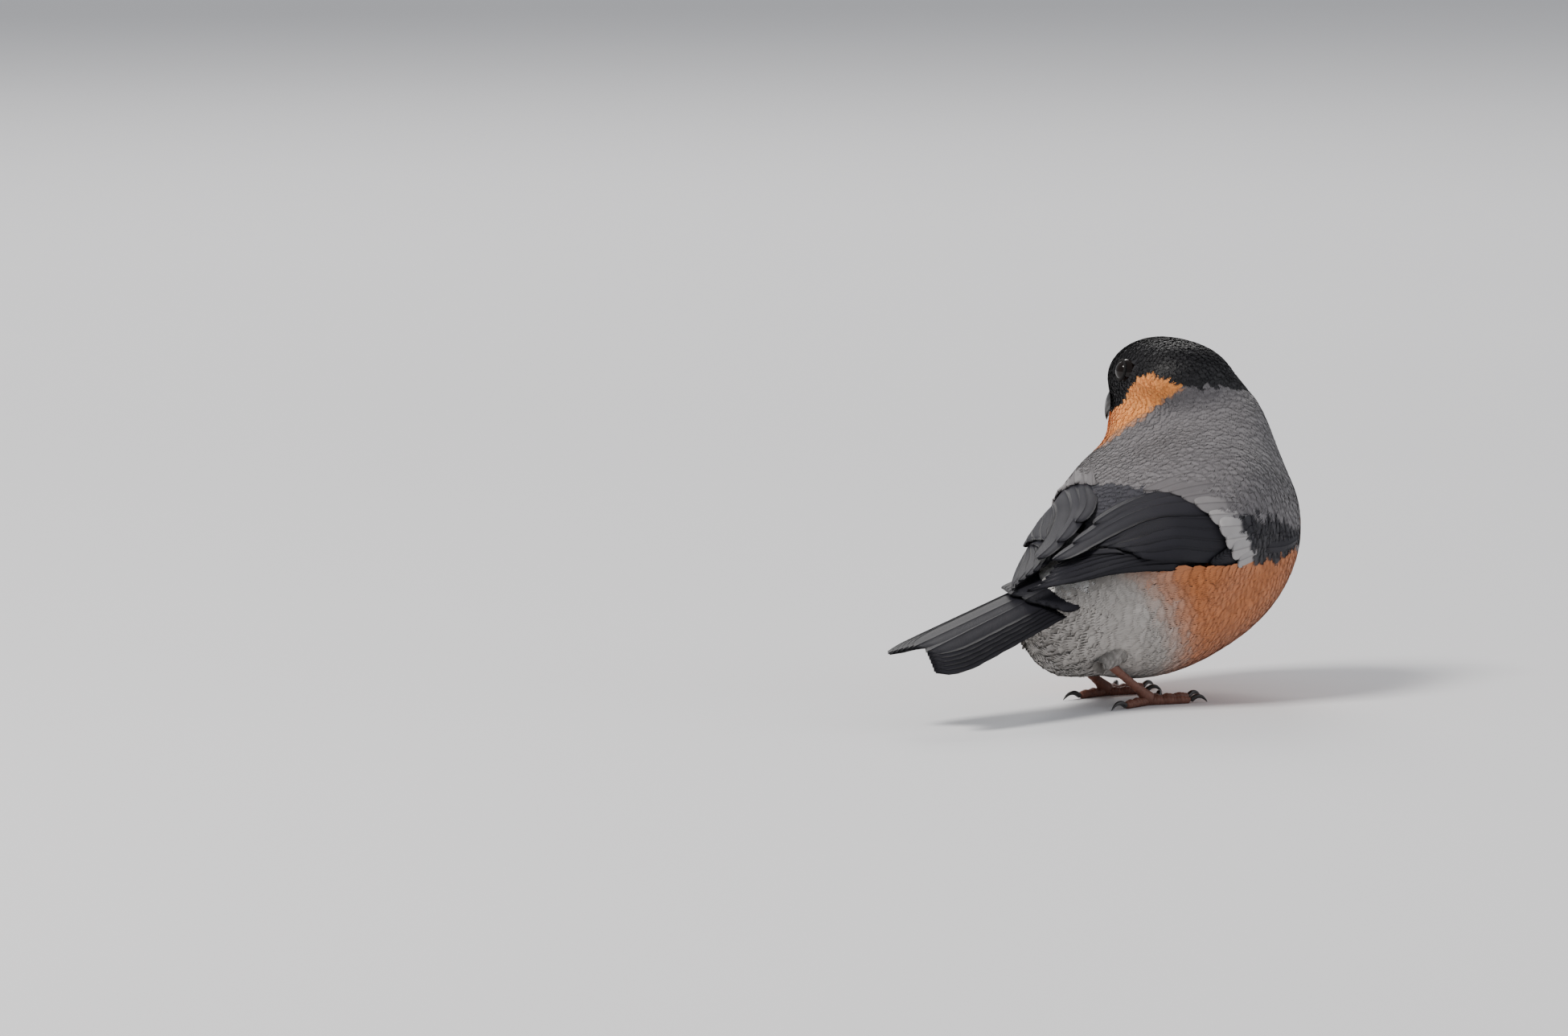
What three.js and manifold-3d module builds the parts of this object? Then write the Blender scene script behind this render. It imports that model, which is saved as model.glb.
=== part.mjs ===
// A male bullfinch, life-size, crouched on the ground and looking back over its left side.
// Millimetres. +X is the way the breast faces, +Y is the bird's left and +Z is up.
// The floor is z = 0 and the origin lies on it, under the middle of the bird's box.

import * as THREE from "three";
import { mergeVertices } from "three/addons/utils/BufferGeometryUtils.js";
import Module from "manifold-3d";

const wasm = await Module();
wasm.setup();

// Driving dimensions
const GAP = 0.3; // between neighbouring pieces
const WING_LENGTH = 84; // bend of the wing to the tip of the longest primary
const TAIL_LENGTH = 64; // root to tip of an outer tail feather
const TARSUS_LENGTH = 17;
const BILL_LENGTH = 8.6; // from the feathering to the tip
const BILL_DEPTH = 9.4;
const BILL_WIDTH = 8.6;
const EYE_RADIUS = 2.9;
const VANE_THICKNESS = 0.6;
const STANCE = [9.7, 0]; // x and y of the bird's standing point from the origin

const radians = THREE.MathUtils.degToRad;
const lerp = THREE.MathUtils.lerp;
const vector = (x, y, z) => new THREE.Vector3(x, y, z);
const LEFT = vector(0, 1, 0);

// A smooth curve through a few [x, value] pairs, in rising order of x.
function profile(pairs) {
  return (x) => {
    const last = pairs.length - 1;
    let i = pairs.findIndex((pair) => pair[0] > x) - 1;
    if (x >= pairs[last][0]) i = last - 1;
    i = Math.max(i, 0);
    const [x0, y0] = pairs[i];
    const [x1, y1] = pairs[i + 1];
    const slope = (k) => {
      const a = pairs[Math.max(k - 1, 0)];
      const b = pairs[Math.min(k + 1, last)];
      return (b[1] - a[1]) / (b[0] - a[0]);
    };
    const span = x1 - x0;
    const t = THREE.MathUtils.clamp((x - x0) / span, 0, 1);
    const t2 = t * t;
    const t3 = t2 * t;
    return (
      (2 * t3 - 3 * t2 + 1) * y0 +
      (t3 - 2 * t2 + t) * span * slope(i) +
      (3 * t2 - 2 * t3) * y1 +
      (t3 - t2) * span * slope(i + 1)
    );
  };
}

// Solids

function solidFrom(vertices, triangles) {
  const mesh = (order) =>
    new wasm.Mesh({
      numProp: 3,
      vertProperties: new Float32Array(vertices.flatMap((v) => [v.x, v.y, v.z])),
      triVerts: new Uint32Array(order.flat()),
    });
  const made = new wasm.Manifold(mesh(triangles));
  if (made.volume() > 0) return made;
  return new wasm.Manifold(mesh(triangles.map(([a, b, c]) => [a, c, b])));
}

function solidOf(geometry) {
  const bare = geometry.clone();
  bare.deleteAttribute("normal");
  bare.deleteAttribute("uv");
  const merged = mergeVertices(bare, 1e-3);
  return new wasm.Manifold(
    new wasm.Mesh({
      numProp: 3,
      vertProperties: merged.attributes.position.array,
      triVerts: new Uint32Array(merged.index.array),
    }),
  );
}

function geometryOf(solid) {
  const mesh = solid.getMesh();
  const position = new Float32Array(mesh.numVert * 3);
  for (let i = 0; i < mesh.numVert; i++) {
    position.set(mesh.vertProperties.subarray(i * mesh.numProp, i * mesh.numProp + 3), i * 3);
  }
  const geometry = new THREE.BufferGeometry();
  geometry.setAttribute("position", new THREE.BufferAttribute(position, 3));
  geometry.setIndex(new THREE.BufferAttribute(mesh.triVerts, 1));
  geometry.computeVertexNormals();
  return geometry;
}

const joined = (solids) => wasm.Manifold.union(solids);
const largest = (solid) =>
  solid.decompose().reduce((a, b) => (a.volume() > b.volume() ? a : b));

// Moves the tip of a needle-thin triangle away from its longest side.
function widen(points, triangle, least) {
  const sides = [0, 1, 2].map((i) => {
    const [tip, from, to] = [0, 1, 2].map((k) => points[triangle[(i + k) % 3]]);
    return { tip, line: new THREE.Line3(from, to) };
  });
  const { tip, line } = sides.reduce((a, b) => (a.line.distance() > b.line.distance() ? a : b));
  const away = tip.clone().sub(line.closestPointToPoint(tip, true, vector(0, 0, 0)));
  if (away.length() < least) tip.addScaledVector(away.normalize(), 2 * least);
}

// One closed body without sealed pockets or needle-thin faces, its points kept apart on a fine grid.
function settled(solid) {
  const GRID = 0.005;
  const { numVert, numProp, vertProperties, triVerts } = largest(solid.simplify(0.03)).getMesh();
  const taken = new Set();
  const points = Array.from({ length: numVert }, (_, i) => {
    const cell = [0, 1, 2].map((k) => Math.round(vertProperties[i * numProp + k] / GRID));
    while (taken.has(cell.join())) cell[i % 3] += 1;
    taken.add(cell.join());
    return vector(...cell).multiplyScalar(GRID);
  });
  const triangles = [];
  for (let i = 0; i < triVerts.length; i += 3) triangles.push([...triVerts.slice(i, i + 3)]);
  for (let pass = 0; pass < 5; pass++) {
    for (const triangle of triangles) widen(points, triangle, GRID / 2);
  }
  return solidFrom(points, triangles);
}

// Rings of points, all of one length, skinned into a closed tube between two end points.
function tube(start, rings, end) {
  const around = rings[0].length;
  const vertices = [start, ...rings.flat(), end];
  const at = (ring, k) => 1 + ring * around + (k % around);
  const triangles = [];
  for (let k = 0; k < around; k++) {
    triangles.push([0, at(0, k + 1), at(0, k)]);
    for (let ring = 0; ring + 1 < rings.length; ring++) {
      triangles.push([at(ring, k), at(ring, k + 1), at(ring + 1, k + 1)]);
      triangles.push([at(ring, k), at(ring + 1, k + 1), at(ring + 1, k)]);
    }
    triangles.push([vertices.length - 1, at(rings.length - 1, k), at(rings.length - 1, k + 1)]);
  }
  return solidFrom(vertices, triangles);
}

// Rows of { point, normal }, thickened into a closed plate whose two faces are split alike.
function plate(rows, thickness) {
  const across = rows[0].length;
  const face = (side) =>
    rows.flat().map(({ point, normal }) =>
      point.clone().addScaledVector(normal, (side * thickness) / 2),
    );
  const vertices = [...face(1), ...face(-1)];
  const under = rows.length * across;
  const at = (row, k) => row * across + k;
  const triangles = [];
  const quad = (a, b, c, d) => triangles.push([a, b, c], [a, c, d]);
  for (let row = 0; row + 1 < rows.length; row++) {
    for (let k = 0; k + 1 < across; k++) {
      const corners = [at(row, k), at(row, k + 1), at(row + 1, k + 1), at(row + 1, k)];
      const [a, b, c, d] = corners;
      triangles.push([a, b, c], [a, c, d]);
      triangles.push([a + under, c + under, b + under], [a + under, d + under, c + under]);
    }
    const right = across - 1;
    quad(at(row + 1, 0), at(row + 1, 0) + under, at(row, 0) + under, at(row, 0));
    quad(at(row, right), at(row, right) + under, at(row + 1, right) + under, at(row + 1, right));
  }
  const bottom = rows.length - 1;
  for (let k = 0; k + 1 < across; k++) {
    quad(at(0, k), at(0, k) + under, at(0, k + 1) + under, at(0, k + 1));
    quad(at(bottom, k + 1), at(bottom, k + 1) + under, at(bottom, k) + under, at(bottom, k));
  }
  return solidFrom(vertices, triangles);
}

// A round tube of varying radius along points, closed by short domes.
function limb(points, radii, sides) {
  const rings = points.map((point, i) => {
    const ahead = points[Math.min(i + 1, points.length - 1)];
    const along = ahead.clone().sub(points[Math.max(i - 1, 0)]).normalize();
    const side = vector(-along.y, along.x, 0).normalize();
    const up = along.clone().cross(side);
    return Array.from({ length: sides }, (_, k) => {
      const angle = ((k + 0.5) / sides) * 2 * Math.PI;
      return point
        .clone()
        .addScaledVector(side, radii[i] * Math.cos(angle))
        .addScaledVector(up, radii[i] * Math.sin(angle));
    });
  });
  const dome = (i, j) => {
    const out = points[i].clone().sub(points[j]).normalize();
    return points[i].clone().addScaledVector(out, radii[i] * 0.6);
  };
  const last = points.length - 1;
  return tube(dome(0, 1), rings, dome(last, last - 1));
}

// Plumage form: a smooth blend of rounded lumps

const HEAD_AT = vector(24.1, 3.8, 71.2);
const HEAD_YAW = 88; // degrees to the left of the breast's direction
const HEAD_PITCH = -14;
const HEAD_ROLL = 8; // left side up

const headTurn = new THREE.Quaternion()
  .setFromAxisAngle(vector(0, 0, 1), radians(HEAD_YAW))
  .multiply(new THREE.Quaternion().setFromAxisAngle(LEFT, radians(-HEAD_PITCH)))
  .multiply(new THREE.Quaternion().setFromAxisAngle(vector(1, 0, 0), radians(HEAD_ROLL)));

// A point given in the head's own frame: forward, left and up from the head's centre.
const inHead = (forward, left, up) =>
  vector(forward, left, up).applyQuaternion(headTurn).add(HEAD_AT);

const pitched = (degrees) => new THREE.Quaternion().setFromAxisAngle(LEFT, radians(-degrees));

// at: centre; radii: length, width, height; power: 2 is round and more is boxier.
const LUMPS = [
  { name: "breast", at: vector(27, 0, 37.7), radii: [23, 24.3, 23.4], turn: pitched(0), power: 2.1 },
  { name: "belly", at: vector(12.7, 0, 26.1), radii: [30.9, 21.2, 20], turn: pitched(12.1), power: 2.2 },
  { name: "back", at: vector(12.9, 0, 39.7), radii: [24.7, 26.1, 14.6], turn: pitched(40.4), power: 2.4 },
  { name: "rump", at: vector(-14.4, 0, 25.5), radii: [15.1, 9.9, 7.6], turn: pitched(20.2), power: 2 },
  { name: "vent", at: vector(-16.3, 0, 17.8), radii: [11.9, 8.8, 9.9], turn: pitched(-18.8), power: 2 },
  { name: "neck", at: vector(31.5, 1.4, 55.7), radii: [14, 16.3, 17], turn: pitched(0), power: 2 },
  { name: "cranium", at: HEAD_AT, radii: [12, 11.7, 8.3], turn: headTurn, power: 2.1 },
  { name: "face", at: inHead(6.4, 0, 1.8), radii: [8.7, 10.1, 7.5], turn: headTurn, power: 2 },
  { name: "throat", at: inHead(7.6, 0, -10.2), radii: [7.3, 11.3, 7.4], turn: headTurn, power: 2 },
].map((lump) => ({ ...lump, back: lump.turn.clone().invert() }));
const BLEND = 7;

function lumpDistance(lump, point) {
  const p = point.clone().sub(lump.at).applyQuaternion(lump.back);
  const [a, b, c] = lump.radii;
  const n = lump.power;
  const size = (Math.abs(p.x / a) ** n + Math.abs(p.y / b) ** n + Math.abs(p.z / c) ** n) ** (1 / n);
  return size < 1e-6 ? -Math.min(a, b, c) : p.length() * (1 - 1 / size);
}

function plumageDistance(point) {
  return LUMPS.map((lump) => lumpDistance(lump, point)).reduce((a, b) => {
    const near = Math.max(BLEND - Math.abs(a - b), 0) / BLEND;
    return Math.min(a, b) - (near * near * BLEND) / 4;
  });
}

// Distance from an inner point, along a direction, to the plumage's surface.
function reach(from, direction) {
  let inside = 0;
  let outside = 70;
  for (let step = 0; step < 24; step++) {
    const middle = (inside + outside) / 2;
    const point = from.clone().addScaledVector(direction, middle);
    if (plumageDistance(point) < 0) inside = middle;
    else outside = middle;
  }
  return from.clone().addScaledVector(direction, inside);
}

const SPINE = new THREE.CatmullRomCurve3([
  vector(-18, 0, 21),
  vector(-5, 0, 26),
  vector(9, 0, 30),
  vector(20, 0.5, 38),
  vector(26.5, 2, 52),
  vector(24.5, 5, 67),
]);

function plumage() {
  const AROUND = 26;
  const ALONG = 21;
  const CAP_ANGLES = [70, 46, 22];
  const ringAt = (t, tilt) => {
    const centre = SPINE.getPoint(t);
    const along = SPINE.getTangent(t);
    const dorsal = along.clone().cross(LEFT).normalize();
    return Array.from({ length: AROUND }, (_, k) => {
      const angle = (k / AROUND) * 2 * Math.PI;
      const ray = dorsal.clone().multiplyScalar(Math.cos(angle)).addScaledVector(LEFT, Math.sin(angle));
      ray.multiplyScalar(Math.cos(tilt)).addScaledVector(along, Math.sin(tilt));
      return reach(centre, ray.normalize());
    });
  };
  const rings = [
    ...CAP_ANGLES.map((angle) => ringAt(0, -radians(angle))),
    ...Array.from({ length: ALONG + 1 }, (_, i) => ringAt(i / ALONG, 0)),
    ...CAP_ANGLES.toReversed().map((angle) => ringAt(1, radians(angle))),
  ];
  const end = (t, sign) => reach(SPINE.getPoint(t), SPINE.getTangent(t).multiplyScalar(sign));
  return tube(end(0, -1), rings, end(1, 1));
}

// Feathers

// Stations along a feather and its width there, as shares of the whole.
const FEATHER_STATIONS = [0, 0.45, 0.85, 1];
const FLIGHT_WIDTHS = [0.8, 1, 0.86, 0.26];
const ROUND_WIDTHS = [0.7, 1, 0.92, 0.4];

const FLAT_VANE = [-1, 1];
const RIDGED_VANE = [-1, 0, 1];

// place(share, across, width) gives the point and normal of a vane; across is 0 on its shaft.
function vane(place, widths, columns, thickness = VANE_THICKNESS) {
  const rows = FEATHER_STATIONS.map((share, i) =>
    columns.map((across) => place(share, across, widths[i])),
  );
  return plate(rows, thickness);
}

// The folded wing's outer surface, in upright sections: x is the place along the bird.
// Ahead of WING_FREE it follows the plumage, and behind it the wing stands clear of the body.
const WING_FRONT = 41;
const WING_FREE = 3;
const WING_TIP = 44 - 0.97 * WING_LENGTH; // 44 is where the wing's bend lies
const WING_POWER = 2.8;
const WING_RISE = -0.8;
const wingLowerEdge = profile([[-37.5, 29], [-28, 30], [-18, 32], [0, 32.3], [16, 32.5], [30, 33], [41, 36]]);
const wingHalfWidth = profile([[-37.5, 2.5], [-30, 9.5], [-20, 16.2], [-10, 21.5], [0, 25], [16, 26]]);
const wingRidge = profile([[-37.5, 30.6], [-20, 37], [-7, 43.8], [2.5, 50], [16, 58]]);
const wingInnerAngle = profile([[-37.5, 87], [-8, 86], [2.5, 64], [12, 47], [20, 37], [30, 28], [41, 15]]);

function wingSection(side, x, t) {
  const angle = radians(t * wingInnerAngle(x));
  const low = vector(x, 0, wingLowerEdge(x));
  const out = vector(0, side * Math.cos(angle), Math.sin(angle));
  const a = wingHalfWidth(x);
  const b = wingRidge(x) - wingLowerEdge(x);
  const n = WING_POWER;
  const free = (Math.abs(Math.cos(angle) / a) ** n + Math.abs(Math.sin(angle) / b) ** n) ** (-1 / n);
  const share = THREE.MathUtils.smoothstep(x, WING_FREE - 8, WING_FREE + 8);
  const fitted = share > 0 ? reach(low, out).distanceTo(low) : 0;
  return low.addScaledVector(out, lerp(free, fitted, share));
}

// side is 1 on the left wing and -1 on the right; t runs from the lower edge, 0, to the inner edge, 1.
function wingPlace(side, x, t, height) {
  const STEP = 0.03;
  const near = THREE.MathUtils.clamp(t, STEP, 1 - STEP);
  const point = wingSection(side, x, t);
  const across = wingSection(side, x, near + STEP).sub(wingSection(side, x, near - STEP));
  const along = wingSection(side, x + 1.5, near).sub(wingSection(side, x - 1.5, near));
  const normal = across.cross(along).multiplyScalar(side).normalize();
  point.addScaledVector(normal, height + WING_RISE);
  point.y = side * Math.max(side * point.y, GAP * 0.6);
  return { point, normal };
}

function measureArc(x) {
  const STEPS = 10;
  let length = 0;
  for (let i = 0; i < STEPS; i++) {
    length += wingSection(1, x, i / STEPS).distanceTo(wingSection(1, x, (i + 1) / STEPS));
  }
  return length;
}
const ARC_STATIONS = [-37.5, -30, -22, -14, -6, 2, 10, 18, 26, 34, 41];
const wingArc = profile(ARC_STATIONS.map((x) => [x, measureArc(x)]));

function wingVane(side, feather) {
  const { root, tip, halfWidth, height, widths = FLIGHT_WIDTHS, columns = FLAT_VANE } = feather;
  const place = (share, across, width) => {
    const x = lerp(root[0], tip[0], share);
    const middle = lerp(root[1], tip[1], share);
    const offset = (across * halfWidth * width) / wingArc(x);
    const t = THREE.MathUtils.clamp(middle + offset, 0.005, 0.995);
    return wingPlace(side, x, t, height + (across === 0 ? 0.15 : 0));
  };
  return vane(place, widths, columns);
}

// The arm and hand under the coverts, between two heights on the wing's surface.
function wingPanel(side, low, high, xs, margin) {
  const ts = [0, 0.2, 0.4, 0.6, 0.8, 1];
  const middle = (low + high) / 2;
  const rows = xs.map((x) =>
    ts.map((t) => wingPlace(side, x, t * (1 + 2 * margin / wingArc(x)) - margin / wingArc(x), middle)),
  );
  return plate(rows, high - low);
}

const WING_UNDER = -4.4; // the wing's inner face, below its outer surface
const counted = (count, make) => Array.from({ length: count }, (_, k) => make(k, k / (count - 1)));

function wingFeathers() {
  const primaries = counted(6, (k, share) => ({
    root: [5 - 20 * share, 0.06 + 0.3 * share],
    tip: [WING_TIP + (k === 0 ? 2.5 : 2.6 * (k - 1)), 0.2 + 0.7 * share],
    halfWidth: 3,
    height: -2.9 + 0.24 * k,
  }));
  const secondaries = counted(5, (k, share) => ({
    root: [8 - 8 * share, 0.14 + 0.36 * share],
    tip: [-14 - 4 * share, 0.22 + 0.4 * share],
    halfWidth: 3.6,
    height: -1.3 + 0.26 * k,
  }));
  const tertials = counted(3, (k, share) => ({
    root: [5 - 4 * share, 0.52 + 0.24 * share],
    tip: [-24 + 13 * share, 0.72 + 0.1 * share],
    halfWidth: 5.2,
    height: 0.05 + 0.3 * k,
    widths: ROUND_WIDTHS,
    columns: RIDGED_VANE,
  }));
  const primaryCoverts = counted(3, (k, share) => ({
    root: [27, 0.05 + 0.06 * share],
    tip: [6 + 4 * share, 0.06 + 0.1 * share],
    halfWidth: 2.4,
    height: -0.2 + 0.25 * k,
  }));
  const alula = counted(2, (k, share) => ({
    root: [36, 0.06 + 0.06 * share],
    tip: [20 + 4 * share, 0.06 + 0.12 * share],
    halfWidth: 2,
    height: 0.35 + 0.25 * k,
  }));
  const greaterCoverts = counted(7, (k, share) => ({
    root: [27 - 14 * share, 0.16 + 0.6 * share],
    tip: [17 - 14.5 * share, 0.07 + 0.78 * share],
    halfWidth: 2.9,
    height: 0.5 + (k % 2) * 0.25,
    widths: ROUND_WIDTHS,
  }));
  const medianCoverts = counted(5, (k, share) => ({
    root: [31 - 13 * share, 0.3 + 0.52 * share],
    tip: [23 - 13 * share, 0.24 + 0.62 * share],
    halfWidth: 3.4,
    height: 1.05 + (k % 2) * 0.25,
    widths: ROUND_WIDTHS,
  }));
  return [
    ...primaries,
    ...secondaries,
    ...tertials,
    ...primaryCoverts,
    ...alula,
    ...greaterCoverts,
    ...medianCoverts,
  ];
}

// The space a wing may fill, from its inner face to well past its outer one.
function wingSpace(side, grow) {
  const xs = [WING_TIP - 1, -30, -22, -14, -9, -5, -1, 3, 7, 12, 18, 26, 34, WING_FRONT + 0.2];
  xs[0] -= grow;
  xs[xs.length - 1] += grow;
  return wingPanel(side, WING_UNDER - grow, 9 + grow, xs, grow);
}

function wing(side) {
  const arm = wingPanel(side, -3, 0.1, [3, 10, 18, 26, 34, WING_FRONT], 0);
  const whole = joined([arm, ...wingFeathers().map((feather) => wingVane(side, feather))]);
  return whole.intersect(wingSpace(side, 0.2)).trimByPlane([0, side, 0], GAP / 2);
}

// Tail

const TAIL_ROOT = vector(-7, 0.5, 31.7);
const TAIL_SLOPE = 13; // degrees down to the rear
const TAIL_ROLL = 12.5; // right side down
const TAIL_ARCH = 0.9; // how far the edges hang under the middle
const TAIL_HALF_WIDTH = 7; // to the middle of an outermost feather, at the tip

const tailTurn = new THREE.Quaternion()
  .setFromAxisAngle(LEFT, radians(-TAIL_SLOPE))
  .multiply(new THREE.Quaternion().setFromAxisAngle(vector(1, 0, 0), radians(TAIL_ROLL)));

// back: distance behind the root; left: sideways; height: above the tail's arched surface.
function tailPlace(back, left, height) {
  const bend = (left / TAIL_HALF_WIDTH) ** 2 * TAIL_ARCH;
  const tilt = (2 * left * TAIL_ARCH) / TAIL_HALF_WIDTH ** 2;
  const normal = vector(0, tilt, 1).normalize();
  const point = vector(-back, left, -bend).addScaledVector(normal, height);
  return {
    point: point.applyQuaternion(tailTurn).add(TAIL_ROOT),
    normal: normal.applyQuaternion(tailTurn),
  };
}

function tailVane(feather, grow = 0) {
  const { root, tip, halfWidth, height, widths = FLIGHT_WIDTHS } = feather;
  const place = (share, across, width) => {
    const back = lerp(root[0] - grow, tip[0] + grow, share);
    const left = lerp(root[1], tip[1], share) + across * (halfWidth * width + grow);
    return tailPlace(back, left, height);
  };
  return vane(place, widths, FLAT_VANE, VANE_THICKNESS + 2 * grow);
}

function tailFeathers() {
  const pairs = counted(6, (k, share) =>
    [1, -1].map((side) => ({
      root: [0, side * (0.8 + 3.6 * share)],
      tip: [TAIL_LENGTH - 3 * (1 - share), side * (1.8 + (TAIL_HALF_WIDTH - 1.8) * share)],
      halfWidth: 4.1,
      height: -0.26 * k - (side < 0 ? 0.13 : 0),
    })),
  ).flat();
  const coverts = counted(3, (k, share) =>
    [1, -1].map((side) => ({
      root: [2, side * (1.5 + 4 * share)],
      tip: [27 - 4 * share, side * (2.2 + 5 * share)],
      halfWidth: 3.8,
      height: 1.1 - 0.25 * k - (side < 0 ? 0.12 : 0),
      widths: ROUND_WIDTHS,
    })),
  ).flat();
  return [...pairs, ...coverts];
}

// The flesh that carries the tail feathers, inside the rump.
function tailBase(grow = 0) {
  const sections = [
    [-3, 3, 1.6],
    [2, 5.4, 2.6],
    [8, 5.8, 2.5],
    [13, 5, 1.4],
  ];
  const ring = ([back, half, depth]) =>
    counted(10, (k) => {
      const angle = (k / 10) * 2 * Math.PI;
      const left = (half + grow) * Math.cos(angle);
      return tailPlace(back, left, (depth + grow) * Math.sin(angle) - 0.4).point;
    });
  const end = (back) => tailPlace(back, 0, -0.4).point;
  return tube(end(-4 - grow), sections.map(ring), end(14 + grow));
}

const tail = (grow = 0) =>
  joined([tailBase(grow), ...tailFeathers().map((feather) => tailVane(feather, grow))]);

// Head details

const EYE_DIRECTION = [4.6, 12, 2]; // forward, left and up from the head's centre, for the left eye
const EYE_SHOWS = 1.15; // how far the ball stands out of the face

function eyeCentre(side) {
  const [forward, left, up] = EYE_DIRECTION;
  const out = inHead(forward, side * left, up).sub(HEAD_AT).normalize();
  return reach(HEAD_AT, out).addScaledVector(out, EYE_SHOWS - EYE_RADIUS);
}

function ball(centre, radius, across, down) {
  const sphere = new THREE.SphereGeometry(radius, across, down);
  sphere.translate(centre.x, centre.y, centre.z);
  return solidOf(sphere);
}

// A low ring of skin round the eye.
function eyelid(side) {
  const centre = eyeCentre(side);
  const out = centre.clone().sub(HEAD_AT).normalize();
  const rim = new THREE.TorusGeometry(EYE_RADIUS * 0.88, 0.5, 5, 14);
  rim.applyQuaternion(new THREE.Quaternion().setFromUnitVectors(vector(0, 0, 1), out));
  const seat = centre.clone().addScaledVector(out, EYE_RADIUS - EYE_SHOWS);
  rim.translate(seat.x, seat.y, seat.z);
  return solidOf(rim);
}

// Stout, deep bill with a curved ridge: stations from inside the face to the tip.
const BILL_BASE = [13.6, -2.6]; // forward and up from the head's centre, at the gape line
const BILL_SLOPE = -9; // degrees, of the gape line to the head
const BILL_SUNK = 4;

const billTurn = new THREE.Quaternion().setFromAxisAngle(LEFT, radians(-BILL_SLOPE));
function inBill(along, left, up) {
  const p = vector(along, left, up).applyQuaternion(billTurn);
  return inHead(p.x + BILL_BASE[0], p.y, p.z + BILL_BASE[1]);
}

// half: 1 for the upper mandible, -1 for the lower. Each section is a half-oval with a flat mouth face.
function mandible(half, grow = 0) {
  const depth = half > 0 ? BILL_DEPTH * 0.56 : BILL_DEPTH * 0.44;
  const length = half > 0 ? BILL_LENGTH : BILL_LENGTH * 0.82;
  const shares = [0, 0.25, 0.5, 0.75, 0.92];
  const ring = (share) => {
    const along = lerp(-BILL_SUNK, length, share);
    const outside = Math.max(along, 0) / length;
    const high = depth * (1 - outside ** 2.2) + grow + 0.12;
    const wide = (BILL_WIDTH / 2) * (half > 0 ? 1 : 0.9) * (1 - outside ** 2.4) + grow + 0.15;
    const drop = -1.2 * outside ** 2.5;
    return counted(9, (k) => {
      const angle = Math.PI * (k / 8);
      const up = half * (GAP / 2 - grow + (high - GAP / 2 + grow) * Math.sin(angle) ** 0.9);
      return inBill(along, wide * Math.cos(angle), up + drop);
    });
  };
  const rings = shares.map(ring);
  const tip = inBill(length + grow, 0, half > 0 ? -1.9 : -1.5);
  return tube(inBill(-BILL_SUNK - grow, 0, half * depth * 0.4), rings, tip);
}

function nostril(side) {
  return ball(inBill(0.9, side * 3.6, 3.1), 0.75, 10, 6);
}

// Legs and feet

const TARSUS_RADIUS = 1.05;
const FEET = {
  left: { side: 1, joint: vector(6.8, 9, 1.9) },
  right: { side: -1, joint: vector(0.2, -9, 1.9) },
};
const TARSUS_SLOPE = 33; // degrees above the floor, rising to the rear
const TOES = [
  { name: "hind", heading: 176, length: 8, radius: 1.05, claw: 5.6 },
  { name: "inner", heading: -27, length: 9.5, radius: 0.95, claw: 4 },
  { name: "middle", heading: 2, length: 13, radius: 1.05, claw: 4.6 },
  { name: "outer", heading: 29, length: 10, radius: 0.95, claw: 4 },
];
const FLAT = Math.cos(Math.PI / 8); // an octagon's flat side, as a share of its radius

function ankle(foot) {
  const slope = radians(TARSUS_SLOPE);
  const back = vector(-Math.cos(slope), 0, Math.sin(slope));
  return foot.joint.clone().addScaledVector(back, TARSUS_LENGTH);
}

function tarsus(foot, grow = 0) {
  const top = ankle(foot);
  const low = foot.joint.clone().lerp(top, 0.2);
  const points = [0, 0.12, 0.5, 0.88, 1].map((share) => low.clone().lerp(top, share));
  const radii = [1.05, 0.92, 0.88, 1, 1.25].map((r) => r * TARSUS_RADIUS + grow);
  return limb(points, radii, 8);
}

const toeHeading = (foot, toe) => radians(toe.heading * foot.side);

function toePoint(foot, toe, out, height) {
  const heading = toeHeading(foot, toe);
  const x = foot.joint.x + out * Math.cos(heading);
  return vector(x, foot.joint.y + out * Math.sin(heading), height);
}

function toeSolid(foot, toe) {
  const shares = [0, 0.2, 0.36, 0.5, 0.66, 0.8, 1];
  const swell = [1, 1.08, 0.9, 1.06, 0.86, 0.98, 0.78];
  const radii = swell.map((s) => s * toe.radius);
  const points = shares.map((share, i) => toePoint(foot, toe, share * toe.length, radii[i] * FLAT));
  return limb(points, radii, 8);
}

function footSolid(foot) {
  const pad = limb(
    [foot.joint.clone().setZ(1.75 * FLAT), foot.joint.clone().lerp(ankle(foot), 0.11)],
    [1.75, 1.15],
    8,
  );
  return joined([pad, ...TOES.map((toe) => toeSolid(foot, toe))]).trimByPlane([0, 0, 1], 0);
}

function clawSolid(foot, toe) {
  const shares = [0, 0.3, 0.62, 0.85, 1];
  const heights = [0.8, 1.5, 1.45, 0.85, 0.2];
  const start = toe.length + toe.radius * 0.5 + GAP + 0.4;
  const points = shares.map((share, i) =>
    toePoint(foot, toe, start + share * toe.claw * 0.8, heights[i]),
  );
  return limb(points, [0.6, 0.56, 0.46, 0.36, 0.26], 6).trimByPlane([0, 0, 1], 0);
}

function thigh(foot, grow = 0) {
  const top = ankle(foot);
  const points = [
    top.clone().add(vector(-0.8, 0, 0.2)),
    top.clone().add(vector(2.5, foot.side * -0.4, 1.4)),
    top.clone().add(vector(7, foot.side * -1, 3.6)),
  ];
  return limb(points, [1.9 + grow, 3 + grow, 3.4 + grow], 12);
}

// Assembly

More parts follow.
